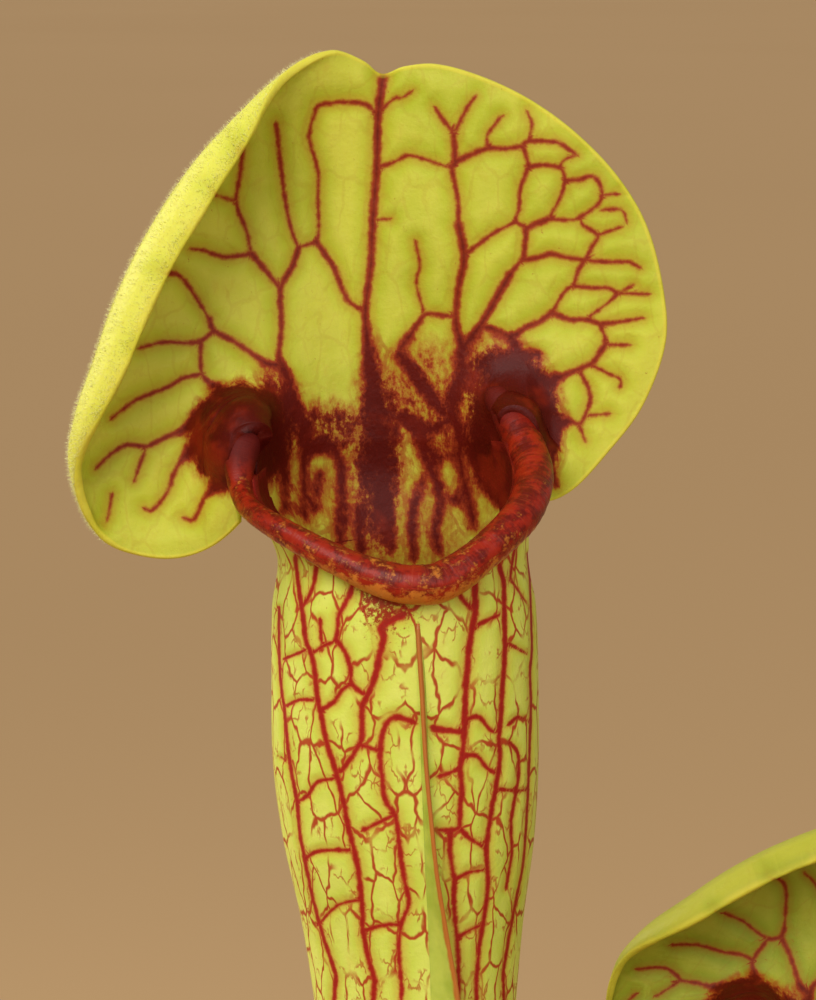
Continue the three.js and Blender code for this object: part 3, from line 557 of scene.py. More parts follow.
def new_piece(name, points, faces, masks, nodes, material, mend=True):
    """A mesh object from points in millimetres of the plant's frame, with a number per point in each mask."""
    grid_shape = points.shape[:-1]
    points = points.reshape(-1, 3)
    mesh = bpy.data.meshes.new(name)
    mesh.vertices.add(len(points))
    mesh.vertices.foreach_set("co", (points * MM).astype(np.float32).ravel())
    corners = np.concatenate([np.asarray(part).ravel() for part in faces if len(part)])
    sizes = np.concatenate([np.full(len(part), len(part[0])) for part in faces if len(part)])
    mesh.loops.add(len(corners))
    mesh.loops.foreach_set("vertex_index", corners.astype(np.int32))
    mesh.polygons.add(len(sizes))
    mesh.polygons.foreach_set("loop_start", np.concatenate([[0], np.cumsum(sizes)[:-1]]).astype(np.int32))
    mesh.update(calc_edges=True)
    mesh.validate()
    for key, values in masks.items():
        layer = mesh.attributes.new(key, "FLOAT", "POINT")
        layer.data.foreach_set("value", np.broadcast_to(values, grid_shape).astype(np.float32).ravel())
    if mend:
        work = bmesh.new()
        work.from_mesh(mesh)
        bmesh.ops.recalc_face_normals(work, faces=work.faces)
        work.to_mesh(mesh)
        work.free()
    mesh.shade_smooth()
    mesh.materials.append(material)
    piece = add_object(name, mesh)
    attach(piece, "root")
    if nodes:
        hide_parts(*nodes)
    return piece


def leaf_piece(leaf, part, points, faces, masks, material):
    nodes = ["pitcher_" + leaf.name]
    new_piece(leaf.name + "_" + part, leaf.place(points), faces, masks, nodes, material)


def numbered(points, start=0):
    """The numbers of a grid's points, counted from a start."""
    return start + np.arange(points[..., 0].size).reshape(points.shape[:-1])


def closed(ring):
    return np.concatenate([ring, ring[:1]])


def grid_quads(ids):
    """Four-sided faces between neighbours in a grid of vertex numbers."""
    return np.stack([ids[:-1, :-1], ids[1:, :-1], ids[1:, 1:], ids[:-1, 1:]], axis=-1).reshape(-1, 4)


def round_quads(ids):
    """The same for a grid whose columns go all the way round."""
    return grid_quads(np.concatenate([ids, ids[:, :1]], axis=1))


def round_body(ids):
    """Faces of a closed body: a grid that goes all the way round, and a cap at each end."""
    return [round_quads(ids), [tuple(ids[0][::-1])], [tuple(ids[-1])]]


def fan(ring, middle):
    ring = closed(ring)
    return [(ring[k], ring[k + 1], middle) for k in range(len(ring) - 1)]


def zipper(a, ta, b, tb):
    """Triangles between two chains of vertices, given each vertex's place along them."""
    i = j = 0
    faces = []
    while i < len(a) - 1 or j < len(b) - 1:
        if j == len(b) - 1 or (i < len(a) - 1 and ta[i + 1] <= tb[j + 1]):
            faces.append((a[i], b[j], a[i + 1]))
            i += 1
        else:
            faces.append((a[i], b[j], b[j + 1]))
            j += 1
    return faces


def sheet_normals(grid):
    """Normals of a grid of points, on the side that faces -Y in its middle."""
    normals = unit(np.cross(np.gradient(grid, axis=0), np.gradient(grid, axis=1)))
    middle = normals[grid.shape[0] // 2, grid.shape[1] // 2]
    return normals * (-np.sign(middle[1]))


def build_hood(leaf, cols, rows, curls, material):
    """The hood with its two faces, and below the rim a skirt inside the tube; gives what hairs grow on."""
    places = np.linspace(HOOD_ENDS[0], HOOD_ENDS[1], 2 * cols + 1)
    below = np.linspace(-HOOD_SKIRT, -0.3, max(rows // 8, 8))
    row_shares = np.linspace(0, 1, rows)
    curl_shares = np.linspace(0, 1, curls + 1)[1:]
    v = np.concatenate([below / HOOD_SKIRT * 0.4, row_shares, 1 + 0.25 * curl_shares])
    sheet = leaf.hood_sheet(places, below, row_shares, curl_shares)
    normals = sheet_normals(sheet)
    main_sheet = MAIN.hood_sheet(places, below, row_shares, curl_shares)
    main_inner = main_sheet + sheet_normals(main_sheet) * MAIN.wall / 2
    pixels = to_pixels(main_inner)
    side, away, wide = vein_field(pixels, HOOD_VEINS + COLUMN_VEINS)
    low_red = 0.1 * (1 - smoothstep(v, 0.02, 0.3)) + 0.75 * (1 - smoothstep(v, -0.34, -0.14))
    red = patches(pixels, RED_PATCHES) + low_red
    shoulder = patches(pixels, SHOULDERS) * smoothstep(v, 0.05, 0.2) * (1 - smoothstep(v, 0.8, 1.0))

    lobe = smoothstep(np.abs(places), 0.8, 0.93)[:, None]
    half = 0.5 * (leaf.wall * (1 - lobe) + LOBE_END_THICKNESS * math.sqrt(leaf.size) * lobe) + 0.03
    half = half * (1 - 0.6 * smoothstep(v, 1.0, 1.25))
    puff = HOOD_PUFF * smoothstep(away - wide, -0.2, 2.0) * smoothstep(v, 0.2, 0.5)
    ripple = smoothstep(v, 0.1, 0.3) * (1 - smoothstep(v, 0.6, 0.9))
    ripple = HOOD_RIPPLE * noise(main_inner, 7.0, 1) * ripple
    inner = sheet + normals * (half + (puff + ripple + shoulder) * leaf.size)[..., None]
    outer_rows = np.append(np.arange(len(v) - 1, 0, -3), 0)
    outer_cols = np.arange(0, 2 * cols + 1, 2)
    outer_grid = np.ix_(outer_cols, outer_rows)
    sunk = smoothstep(v, -0.05, -0.01)
    outer = (sheet + normals * ((ripple - 0.5 * puff) * leaf.size - half * sunk)[..., None])[outer_grid]
    ahead = unit(sheet[:, -1] - sheet[:, -2])
    rim_half = half[:, -1:]
    rim_relief = (puff + ripple)[:, -1:] * leaf.size
    edge = [sheet[:, -1] + normals[:, -1] * (rim_half * math.sin(t) + rim_relief * max(math.sin(t), 0))
            + ahead * rim_half * math.cos(t) for t in HOOD_EDGE_TURNS]
    edge = np.stack(edge, axis=1)

    points = np.concatenate([grid.reshape(-1, 3) for grid in (inner, edge, outer)])
    inner_ids = numbered(inner)
    edge_ids = numbered(edge, inner_ids.size)
    outer_ids = numbered(outer, inner_ids.size + edge_ids.size)
    faces = [grid_quads(inner_ids), grid_quads(np.concatenate([inner_ids[:, -1:], edge_ids], axis=1)),
             grid_quads(outer_ids), zipper(edge_ids[:, -1], places, outer_ids[:, 0], places[outer_cols]),
             zipper(inner_ids[:, 0], places, outer_ids[:, -1], places[outer_cols])]
    chain_v = np.concatenate([v, np.linspace(1.251, 1.254, len(HOOD_EDGE_TURNS))])
    for end in (0, -1):
        chain = np.concatenate([inner_ids[end], edge_ids[end]])
        faces.append(zipper(chain, chain_v, outer_ids[end][::-1], v[outer_rows][::-1]))

    def spread(values, edge_value=None, outer_values=None):
        """A mask's values on the inner face, round the edge and on the outer face."""
        values = np.broadcast_to(values, away.shape)
        edge_values = np.repeat(values[:, -1:], len(HOOD_EDGE_TURNS), axis=1)
        if edge_value is not None:
            edge_values = np.full_like(edge_values, edge_value)
        if outer_values is None:
            outer_values = values
        return np.concatenate([part.ravel() for part in (values, edge_values, outer_values[outer_grid])])

    ends = smoothstep(np.abs(places), 0.86, 0.93)[:, None]
    masks = {
        "side": spread(side),
        "vein": spread(away - leaf.slack),
        "wide": spread(wide),
        "across": spread(pixels[..., 0] / PIXELS_PER_MM),
        "rise": spread(pixels[..., 1] / PIXELS_PER_MM),
        "red": spread(red, None, red * ends),
        "outer": spread(0.0, 0.5, (1 - ends) * smoothstep(v, -0.1, 0.45)),
        "margin": spread(smoothstep(v, 1.1, 1.25), 1.0),
    }
    leaf_piece(leaf, "hood", points, faces, masks, material)
    return sheet, normals, half, v, places


def tube_field(degrees, measure):
    """The tube's veins, repeated in mirror image where the photograph doesn't show it, and the way round."""
    seen = degrees + FRONT_TURN
    side = np.where(seen > 180, seen - 360, seen)
    folded = np.where(np.abs(side) > SEEN_ARC, np.sign(side) * (2 * SEEN_ARC - np.abs(side)), side)
    beyond = np.mod(np.maximum(SEEN_TO - measure, 0) / MIRROR_STEP, 2)
    beyond = np.where(beyond > 1, 2 - beyond, beyond)
    window = np.where(measure < SEEN_TO, SEEN_TO + MIRROR_STEP * beyond, measure)
    slant = np.maximum(np.cos(np.radians(folded)), 0.2)
    line_side, away, wide = vein_field(to_pixels(MAIN.ring(folded - FRONT_TURN, window)), TUBE_VEINS)
    across = np.broadcast_to(np.abs(side) * NET_MM_PER_DEGREE, away.shape)
    return np.array([line_side / slant, away / slant, wide, across])


def foot_share(measure):
    return 1 - smoothstep(measure, *FOOT_FADE)


def build_tube(leaf, cols, top_step, low_step):
    """The tube: outer face in two parts, the finer one on top, then the inner face in two parts."""
    fine = np.linspace(-180, 180, 2 * cols + 1)[:-1]
    rough = fine[::2]
    top_count = int(-DENSE_FROM / top_step)
    shares = np.linspace(0, 1, top_count)[:, None]

    def wall(angles, share, inset):
        bottom = leaf.height(np.array(DENSE_FROM))
        z = bottom + (leaf.rim(angles) - bottom) * share
        return leaf.ring(angles, z, inset), z

    low = np.arange(-MAIN_LENGTH * (1 + FOOT_DEPTH / leaf.length), DENSE_FROM, low_step)
    low_z = leaf.height(low)[:, None]
    low_outer = leaf.ring(rough, low_z)
    top_outer, top_z = wall(fine, shares, 0.0)
    top_inner, _ = wall(rough, np.linspace(1, 0, max(top_count // 3, 6))[:, None], leaf.wall)
    deep = np.arange(DENSE_FROM - 2, -MAIN_LENGTH * HOLLOW_SHARE, -3 * low_step)
    deep_inner = leaf.ring(rough, leaf.height(deep)[:, None], leaf.wall)
    field_low = tube_field(rough, leaf.measure(low_z))
    field_top = tube_field(fine, leaf.measure(top_z))
    turn = np.radians(fine + FRONT_TURN)
    outwards = unit(xyz(np.sin(turn), -np.cos(turn), 0))
    puff = TUBE_PUFF * smoothstep(field_top[1] - field_top[2], 0.0, 1.1) * (1 - smoothstep(shares, 0.93, 1))
    top_outer = top_outer + outwards * (puff * leaf.size)[..., None]

    parts = [low_outer, top_outer, top_inner, deep_inner]
    ids = []
    start = 0
    for part in parts:
        ids.append(numbered(part, start))
        start += ids[-1].size
    fine_closed = np.append(fine, 180)
    rough_closed = np.append(rough, 180)
    faces = [round_quads(part) for part in ids]
    faces.append(zipper(closed(ids[0][-1]), rough_closed, closed(ids[1][0]), fine_closed))
    faces.append(zipper(closed(ids[1][-1]), fine_closed, closed(ids[2][0]), rough_closed))
    faces.append(round_quads(np.stack([ids[2][-1], ids[3][0]])))
    faces.append(fan(ids[0][0], start))
    faces.append(fan(ids[3][-1], start + 1))
    middles = [low_outer[0].mean(0), deep_inner[-1].mean(0)]
    points = np.concatenate([part.reshape(-1, 3) for part in parts] + [middles])

    outer_count = ids[0].size + ids[1].size
    inner_count = len(points) - outer_count
    inside = np.concatenate([np.zeros(outer_count), np.ones(inner_count)])
    inside[-2] = 0
    rest = np.full((4, inner_count), INSIDE_GAP)
    fields = [field_low.reshape(4, -1), field_top.reshape(4, -1), rest]
    side, away, wide, across = np.concatenate(fields, axis=1)
    measure = leaf.measure(points[:, 2])
    depth = (leaf.rim(fine) - top_z) / leaf.size
    blot = 0.9 * np.exp(-((fine + 14) / 13) ** 2) * (1 - smoothstep(depth, 2.5, 9))
    front_red = (1 - smoothstep(depth, 0.4, 3.4)) * (1 - smoothstep(np.abs(fine), 80, 100))
    blush = np.zeros(len(points))
    blush[ids[1]] = np.maximum(front_red, blot)
    masks = {
        "side": side,
        "vein": away - leaf.slack,
        "wide": wide + TUBE_VEIN_EXTRA,
        "across": across,
        "rise": measure,
        "red": inside * (0.95 * smoothstep(measure, -80, -10) + smoothstep(measure, 2, 8)),
        "low": foot_share(measure),
        "blush": blush,
    }
    leaf_piece(leaf, "tube", points, faces, masks, TUBE_GREEN)


def build_lip(leaf, stations, sides):
    angles = np.linspace(LIP[0][0], LIP[-1][0], stations)
    height, radius = along(LIP, angles).T * leaf.size
    line = leaf.ring(angles, height)
    tangent = unit(np.gradient(line, axis=0))
    outward = line - [LIP_MIDDLE_X * leaf.size, 0, 0]
    outward[:, 2] = 0
    outward = unit(outward)
    outward = unit(outward - tangent * (outward * tangent).sum(1, keepdims=True))
    up = np.cross(outward, tangent)
    up *= np.sign(up[:, 2:])
    end = np.minimum(np.arange(stations), np.arange(stations)[::-1]) / 6.0
    radius = radius * np.sqrt(np.clip(1 - (1 - np.clip(end, 0, 1)) ** 2, 0.02, 1))
    radius = radius[:, None]
    centre = line + outward * (LIP_OUT * radius) - up * (LIP_DOWN * radius)
    around = circle(sides)
    run = np.concatenate([[0], np.cumsum(np.linalg.norm(np.diff(centre, axis=0), axis=1))])[:, None]
    ring = outward[:, None] * np.cos(around)[:, None] + up[:, None] * np.sin(around)[:, None]
    probe = xyz(run, 4 * np.cos(around), 4 * np.sin(around))
    wrinkle = 0.022 * noise(probe * [1, 0.15, 0.15], 0.35, 3) + 0.05 * noise(probe, 2.2, 4)
    points = centre[:, None] + ring * (radius * (1 + wrinkle))[..., None]
    masks = {
        "run": run,
        "turn": around,
        "under": (smoothstep(-np.sin(around), -0.2, 0.9) * np.exp(-((angles[:, None] - 5) / 60) ** 2)
                  - 0.5 * smoothstep(angles, 25, 80)[:, None]),
        "tip": np.maximum(smoothstep(-angles, 92, 104), smoothstep(angles, 94, 112))[:, None],
    }
    leaf_piece(leaf, "lip", points, round_body(numbered(points)), masks, LIP_RED)


def build_wing(leaf, rows):
    measure = np.linspace(WING[0][0], WING[-1][0] + 1.5, rows)
    z = leaf.height(measure)
    stand, turn = along(WING, measure).T
    root = leaf.ring(0.5, z, leaf.wall * 0.7)
    tip = leaf.around((along(TUBE, measure)[:, 0] + stand) * leaf.size, turn, z)
    out = unit(tip - root)
    across = unit(xyz(root[:, 1] - tip[:, 1], tip[:, 0] - root[:, 0], 0))[:, None]
    shares = np.linspace(0, 1, 9)
    half = (WING_HALF_THICKNESS * (1 - 0.45 * shares ** 2) * math.sqrt(leaf.size))[:, None]
    bow = 0.35 * np.sin(np.pi * shares) * leaf.size
    ruffle = 0.25 * noise(xyz(0, 0, z), 6.0, 5) * stand / 3
    middle = root[:, None] + (tip - root)[:, None] * shares[:, None] + across * bow[:, None]
    middle = middle + across * (ruffle[:, None] * shares ** 2)[..., None]
    nose = (middle[:, -1] + out * half[-1])[:, None]
    loop = np.concatenate([middle + across * half, nose, (middle - across * half)[:, ::-1]], axis=1)
    rim = np.concatenate([shares, [1.0], shares[::-1]])
    masks = {"rim": rim, "low": foot_share(measure)[:, None]}
    leaf_piece(leaf, "wing", loop, round_body(numbered(loop)), masks, WING_GREEN)


def build_hairs(sheet, normals, half, v, places):
    """Fine hairs on the back of the main hood, most of them on its left band: slim three-sided spikes."""
    rng = np.random.default_rng(5)
    cols = rng.integers(0, len(places), MAIN_HAIRS)
    rows = rng.integers(int(np.argmax(v > 0.55)), len(v), MAIN_HAIRS)
    band_cols = np.flatnonzero((places > -0.8) & (places < -0.06))
    cols[:BAND_HAIRS] = rng.choice(band_cols, BAND_HAIRS)
    rows[:BAND_HAIRS] = rng.integers(int(np.argmax(v > 0.9)), len(v), BAND_HAIRS)
    cols = np.minimum(cols, len(places) - 2)
    rows = np.minimum(rows, len(v) - 2)
    across, down = rng.uniform(0, 1, (2, MAIN_HAIRS, 1))

    def at_hairs(grid):
        """A grid's values at the hairs' places, between its points."""
        upper = grid[cols, rows] * (1 - across) + grid[cols + 1, rows] * across
        lower = grid[cols, rows + 1] * (1 - across) + grid[cols + 1, rows + 1] * across
        return upper * (1 - down) + lower * down

    ways = -unit(at_hairs(normals))
    roots = MAIN.place(at_hairs(sheet) + ways * at_hairs(half[..., None]))
    lengths = rng.uniform(*HAIR_LENGTHS, MAIN_HAIRS)[:, None]
    rng = np.random.default_rng(11)
    ways = unit(ways + rng.normal(0, HAIR_SPREAD, roots.shape))
    side = unit(np.cross(ways, rng.normal(0, 1, roots.shape)))
    other = np.cross(ways, side)
    corners = [roots - ways * 0.05 + (side * math.cos(t) + other * math.sin(t)) * HAIR_THICKNESS
               for t in (0, 2.094, 4.189)]
    points = np.stack(corners + [roots + ways * lengths], axis=1)
    first = 4 * np.arange(len(roots))[:, None]
    faces = np.concatenate([first + [0, 1, 3], first + [1, 2, 3], first + [2, 0, 3], first + [0, 2, 1]])
    new_piece("main_hairs", points, [faces], {}, (), HAIR_PALE, mend=False)


class Wire:
    """A value inside a material. Arithmetic with it adds nodes to the material."""

    def __init__(self, shader, socket):
        self.shader = shader
        self.socket = socket

    def __add__(self, other):
        return self.shader.math("ADD", self, other)

    def __sub__(self, other):
        return self.shader.math("SUBTRACT", self, other)

    def __rsub__(self, other):
        return self.shader.math("SUBTRACT", other, self)

    def __mul__(self, other):
        return self.shader.math("MULTIPLY", self, other)

    __radd__ = __add__
    __rmul__ = __mul__


class Shader:
    """A material being put together from nodes."""

    def __init__(self, name, roughness, specular=0.5):
        self.material = bpy.data.materials.new(name)
        self.material.use_nodes = True
        self.surface = self.material.node_tree.nodes["Principled BSDF"]
        self.fill(self.surface, {"Roughness": roughness, "Specular IOR Level": specular})
        self.place = self.node("TexCoord", {}, "Object")

    def fill(self, node, inputs):
        for key, value in inputs.items():
            if isinstance(value, Wire):
                self.material.node_tree.links.new(value.socket, node.inputs[key])
            else:
                node.inputs[key].default_value = value

    def node(self, kind, inputs, output=0, **settings):
        """One of the outputs of a new node, once its settings and inputs are in."""
        node = self.material.node_tree.nodes.new("ShaderNode" + kind)
        for key, value in settings.items():
            setattr(node, key, value)
        self.fill(node, inputs)
        return Wire(self, node.outputs[output])

    def mask(self, name):
        """The number that a piece's points carry under a name, or 0 on a piece without it."""
        return self.node("Attribute", {}, "Fac", attribute_name=name)

    def math(self, operation, a, b=0.0):
        return self.node("Math", {0: a, 1: b}, operation=operation)

    def between(self, value, low, high, start=0.0, end=1.0):
        inputs = {"Value": value, "From Min": low, "From Max": high, "To Min": start, "To Max": end}
        return self.node("MapRange", inputs, interpolation_type="SMOOTHSTEP")

    def stretched(self, factors, place=None):
        return self.node("VectorMath", {0: place or self.place, 1: factors}, operation="MULTIPLY")

    def noise(self, scale, detail=2.0, rough=0.5, place=None, output="Fac"):
        inputs = {"Vector": place or self.place, "Scale": scale, "Detail": detail, "Roughness": rough}
        return self.node("TexNoise", inputs, output)

    def cloud(self, scale, detail=2.0, rough=0.5, low=0.35, high=0.65):
        """Noise with its middle range spread from 0 to 1."""
        return self.between(self.noise(scale, detail, rough), low, high)

    def ragged(self, scale, rough=0.65, strength=1.0, place=None):
        """Noise about 0."""
        return (self.noise(scale, 3, rough, place) - 0.5) * strength

    def net(self, scale, seed):
        """Distance to the nearest wall of a net of cells laid out over the masks "across" and "rise"."""
        spot = self.node("CombineXYZ", {0: self.mask("across") + seed, 1: self.mask("rise") * 0.56})
        warp = self.noise(scale * 1.6, place=spot, output="Color")
        moved = self.node("VectorMath", {0: warp, 1: (1.6, 1.6, 0.0), 2: spot}, operation="MULTIPLY_ADD")
        return self.node("TexVoronoi", {"Vector": moved, "Scale": scale}, "Distance",
                         feature="DISTANCE_TO_EDGE", voronoi_dimensions="2D")

    def mix(self, factor, a, b):
        """A blend of two colours, each from another node or as the 0 to 255 values that a screen shows."""
        a, b = [value if isinstance(value, Wire) else srgb(*value) for value in (a, b)]
        return self.node("Mix", {"Factor": factor, 6: a, 7: b}, 2, data_type="RGBA")

    def bump(self, height, strength, distance, under=None):
        inputs = {"Height": height, "Strength": strength, "Distance": distance}
        if under:
            inputs["Normal"] = under
        return self.node("Bump", inputs)

    def finish(self, color, relief=None, roughness=None, through=0.0, radius=None, scale=None):
        """The material, with light let through it by a share, a colour and a depth."""
        inputs = {"Base Color": color}
        if relief:
            inputs["Normal"] = relief
        if roughness:
            inputs["Roughness"] = roughness
        if through:
            inputs["Subsurface Weight"] = through
            inputs["Subsurface Radius"] = radius
            inputs["Subsurface Scale"] = scale
        self.fill(self.surface, inputs)
        return self.material


def leaf_material(name, greens, reds, net_strength, back=(228, 228, 92)):
    """Leaf tissue: yellow-green with a net of red veins, which swell together in the throat."""
    light, deep, pale = greens
    vein, edge, warmth = reds
    s = Shader(name, 0.5, 0.13)
    low = s.mask("low")
    outer = s.mask("outer")
    red = s.mask("red")
    margin = s.between(s.mask("margin"), 0.85, 1.0)
    fine = s.cloud(420, 4, 0.6, 0.3, 0.7)
    color = s.mix(s.cloud(70, 3), light, deep)
    color = s.mix(fine * 0.3, color, pale)
    color = s.mix(low * 0.6, color, (122, 146, 34))
    color = s.mix(outer * 0.8, color, back)
    color = s.mix(margin * 0.6, color, (222, 204, 60))

    some = s.math("MINIMUM", red, 1.0)
    speckle = s.ragged(1900, 0.7, 1.0, s.stretched((1.0, 1.0, 0.7))) * some * 2.6
    away = s.math("MAXIMUM", s.math("ABSOLUTE", s.mask("side")), s.mask("vein")) - s.mask("wide")
    # Painted light and shade standing in for the puffed cells: paler towards each cell's middle, deeper green
    # beside its veins.
    cell = s.between(away, 0.1, 2.1)
    color = s.mix(cell * 0.35, color, pale)
    color = s.mix((1.0 - cell) * 0.5, color, deep)
    breaks = s.noise(420, 4, 0.65, s.stretched((1.0, 1.0, 0.6))) - 0.5
    swell = s.math("MAXIMUM", red * (1.0 + breaks * 2.0), 0.0)
    flood = (0.74 - red) * 1.5 + breaks * 2.4 + speckle
    swollen = s.math("MINIMUM", away + s.ragged(1200, 0.65, 0.55) + speckle - swell, flood)
    line = s.between(swollen, -0.24, 0.2, 1.0, 0.0)
    throat = s.between(red, 0.1, 0.45)
    halo = s.between(swollen, -0.1, 1.1, 1.0, 0.0) * (0.36 + throat * 0.4)

    coarse = s.between(s.net(0.34, 3.7) - (some - speckle) * 0.05, 0.02, 0.075, 1.0, 0.0)
    coarse = coarse * s.cloud(170, 2, 0.5, 0.34, 0.5)
    dashes = s.between(s.net(0.66, 9.1), 0.02, 0.09, 1.0, 0.0) * s.cloud(420, 2, 0.5, 0.5, 0.62) * 0.75
    net = s.math("MAXIMUM", coarse, dashes) * s.math("MAXIMUM", throat * 0.5, net_strength)
    fade = (1.0 - low * 0.75) * (1.0 - outer * 0.6) * (1.0 - margin * 0.4)
    warm = s.between(red + speckle, 0.2, 1.4) * 0.6
    color = s.mix(s.math("MAXIMUM", halo, warm) * fade, color, s.mix(throat * 0.8, warmth, (158, 58, 16)))
    tint = s.mix(s.between(swollen, -0.75, 0.02), vein, edge)
    tint = s.mix(s.between(red, 0.5, 1.5) * 0.7, tint, (72, 9, 3))
    glow = s.cloud(170, 3, 0.6, 0.5, 0.68) * s.between(red, 0.3, 1.2)
    tint = s.mix(glow * 0.6, tint, (140, 36, 14))
    color = s.mix(s.math("MAXIMUM", line, net) * fade, color, tint)
    blush = s.between(s.mask("blush") + s.ragged(1700, 0.7, 2.4), 0.38, 0.8)
    color = s.mix(blush * 0.96, color, (150, 38, 24))
    relief = s.bump(s.noise(2600, 3, 0.6), 0.25, 0.00012)
    relief = s.bump(fine, 0.2, 0.0003, relief)
    return s.finish(color, relief, 0.52 - s.between(red, 0.2, 0.9) * 0.06, 0.2, (0.85, 1.0, 0.3), 0.0012)


def lip_material():
    s = Shader("lip_red", 0.36, 0.22)
    turn = s.mask("turn")
    tip = s.mask("tip")
    wrapped = s.node("CombineXYZ", {0: s.mask("run"), 1: s.math("SINE", turn), 2: s.math("COSINE", turn)})
    streaks = s.noise(1.0, 4, 0.6, s.stretched((5.5, 0.6, 0.6), wrapped))
    blots = s.noise(1.0, 4, 0.65, s.stretched((0.55, 1.1, 1.1), wrapped))
    color = s.mix(s.between(blots, 0.4, 0.6), (150, 32, 12), (100, 14, 7))
    color = s.mix(s.between(streaks, 0.5, 0.7) * 0.25, color, (184, 72, 40))
    patch = s.mask("under") * 0.42 + (blots - 0.36) + s.ragged(1100, 0.7, 1.1) - tip * 0.4
    color = s.mix(s.between(patch, 0.2, 0.46) * 0.72, color, (208, 128, 44))
    color = s.mix(tip * 0.9, color, (88, 11, 5))
    relief = s.bump(streaks, 0.25, 0.0003)
    relief = s.bump(s.noise(2400, 2), 0.2, 0.0001, relief)
    return s.finish(color, relief, 0.36 + tip * 0.3, 0.12, (1.0, 0.3, 0.15), 0.001)


def wing_material():
    s = Shader("wing_green", 0.48)
    color = s.mix(s.cloud(260, 3), (190, 202, 84), (164, 182, 62))
    color = s.mix(s.mask("low") * 0.5, color, (122, 140, 42))
    rim = s.mask("rim") + s.ragged(600, 0.5, 0.16)
    color = s.mix(s.between(rim, 0.86, 0.97), color, (176, 104, 34))
    return s.finish(color, s.bump(s.noise(1800, 3), 0.25, 0.00012), None, 0.3, (1.0, 0.85, 0.2), 0.0012)


def hair_material():
    s = Shader("hair_pale", 0.5)
    color = s.mix(s.noise(300, 1), (232, 228, 140), (216, 210, 96))
    return s.finish(color, None, None, 0.2, (1.0, 0.9, 0.5), 0.0005)


def pot_material():
    s = Shader("pot_moulded", 0.42)
    dust = s.cloud(140, 6, 0.7, 0.56, 0.75) * 0.3
    color = s.mix(dust, s.mix(s.cloud(30, 4, 0.6), (46, 48, 46), (58, 60, 57)), (122, 112, 94))
    return s.finish(color, s.bump(s.noise(1500, 3), 0.12, 0.0002), 0.42 + dust)


def peat_material():
    s = Shader("peat", 0.95, 0.25)
    color = s.mix(s.cloud(160, 6, 0.7), (58, 40, 26), (98, 72, 46))
    color = s.mix(s.cloud(700, 5, 0.7, 0.5, 0.7) * 0.6, color, (134, 104, 68))
    return s.finish(color, s.bump(s.noise(900, 6, 0.75), 0.8, 0.0012))


def plain_material(name, light, dark, scale, roughness, relief_scale, relief_depth):
    s = Shader(name, roughness)
    color = s.mix(s.cloud(scale, 4, 0.6, 0.3, 0.7), light, dark)
    return s.finish(color, s.bump(s.noise(relief_scale, 4, 0.65), 0.5, relief_depth))


HOOD_GREEN = leaf_material("hood_green", ((196, 199, 60), (170, 181, 40), (210, 208, 88)),
                           ((94, 17, 8), (156, 56, 24), (182, 100, 34)), 0.1)
TUBE_GREEN = leaf_material("tube_green", ((210, 220, 92), (190, 206, 70), (224, 230, 120)),
                           ((142, 28, 22), (170, 38, 26), (204, 118, 56)), 0.93)
# A darker copy of the hood's material for the second leaf: painted shade, as that leaf stands in shadow.
HOOD_SHADED = leaf_material("hood_shaded", ((156, 162, 44), (124, 140, 28), (176, 172, 62)),
                            ((96, 22, 6), (146, 54, 16), (164, 92, 30)), 0.1, (172, 172, 52))
LIP_RED = lip_material()
WING_GREEN = wing_material()
HAIR_PALE = hair_material()


def tube_along(path, radii, sides, grain=0.0, seed=0):
    """Points and faces of a round body along a path, with rough skin."""
    tangent = unit(np.gradient(path, axis=0))
    side = unit(np.cross([0.3, 1.0, 0.2], tangent))
    other = np.cross(tangent, side)
    around = circle(sides)[:, None]
    ring = side[:, None] * np.cos(around) + other[:, None] * np.sin(around)
    points = path[:, None] + ring * radii[:, None, None]
    if grain:
        points = points + ring * (grain * noise(points, 1.6, seed))[..., None]
    return points, round_body(numbered(points))


def build_young():
    """The unopened leaf: a slim closed body with faint lengthwise veins."""
    rows = [[-FOOT_DEPTH, 0.5], [0, 0.5], [15, 0.52], [30, 0.62], [44, 0.82], [56, 1], [65, 0.8], [71, 0.5],
            [YOUNG_LENGTH, 0.12]]
    sides = 40
    h = np.linspace(-FOOT_DEPTH, YOUNG_LENGTH, 90)
    run = np.maximum(0, h / YOUNG_LENGTH) ** 1.4
    path = xyz(YOUNG_FOOT[0] + (YOUNG_TIP[0] - YOUNG_FOOT[0]) * run,
               YOUNG_FOOT[1] + (YOUNG_TIP[1] - YOUNG_FOOT[1]) * run, SOIL_Z + h)
    radii = along(rows, h)[:, 0] * YOUNG_RADIUS
    points, faces = tube_along(path, radii, sides)
    h = h[:, None]
    around = np.linspace(0, 360, sides + 1)[:-1]
    waved = around + 6 * np.sin(h / 9)
    gap = (np.mod(waved, YOUNG_VEIN_STEP) - YOUNG_VEIN_STEP / 2) * radii[:, None] / RADIUS_DEGREES
    masks = {
        "side": gap,
        "vein": np.abs(gap) - FIELD_SLACK,
        "wide": 0.12,
        "across": around * 0.1,
        "rise": h,
        "low": 0.25 + 0.6 * (1 - smoothstep(h, 5, 40)),
    }
    new_piece("young_leaf", points, faces, masks, ["pitcher_young"], TUBE_GREEN)


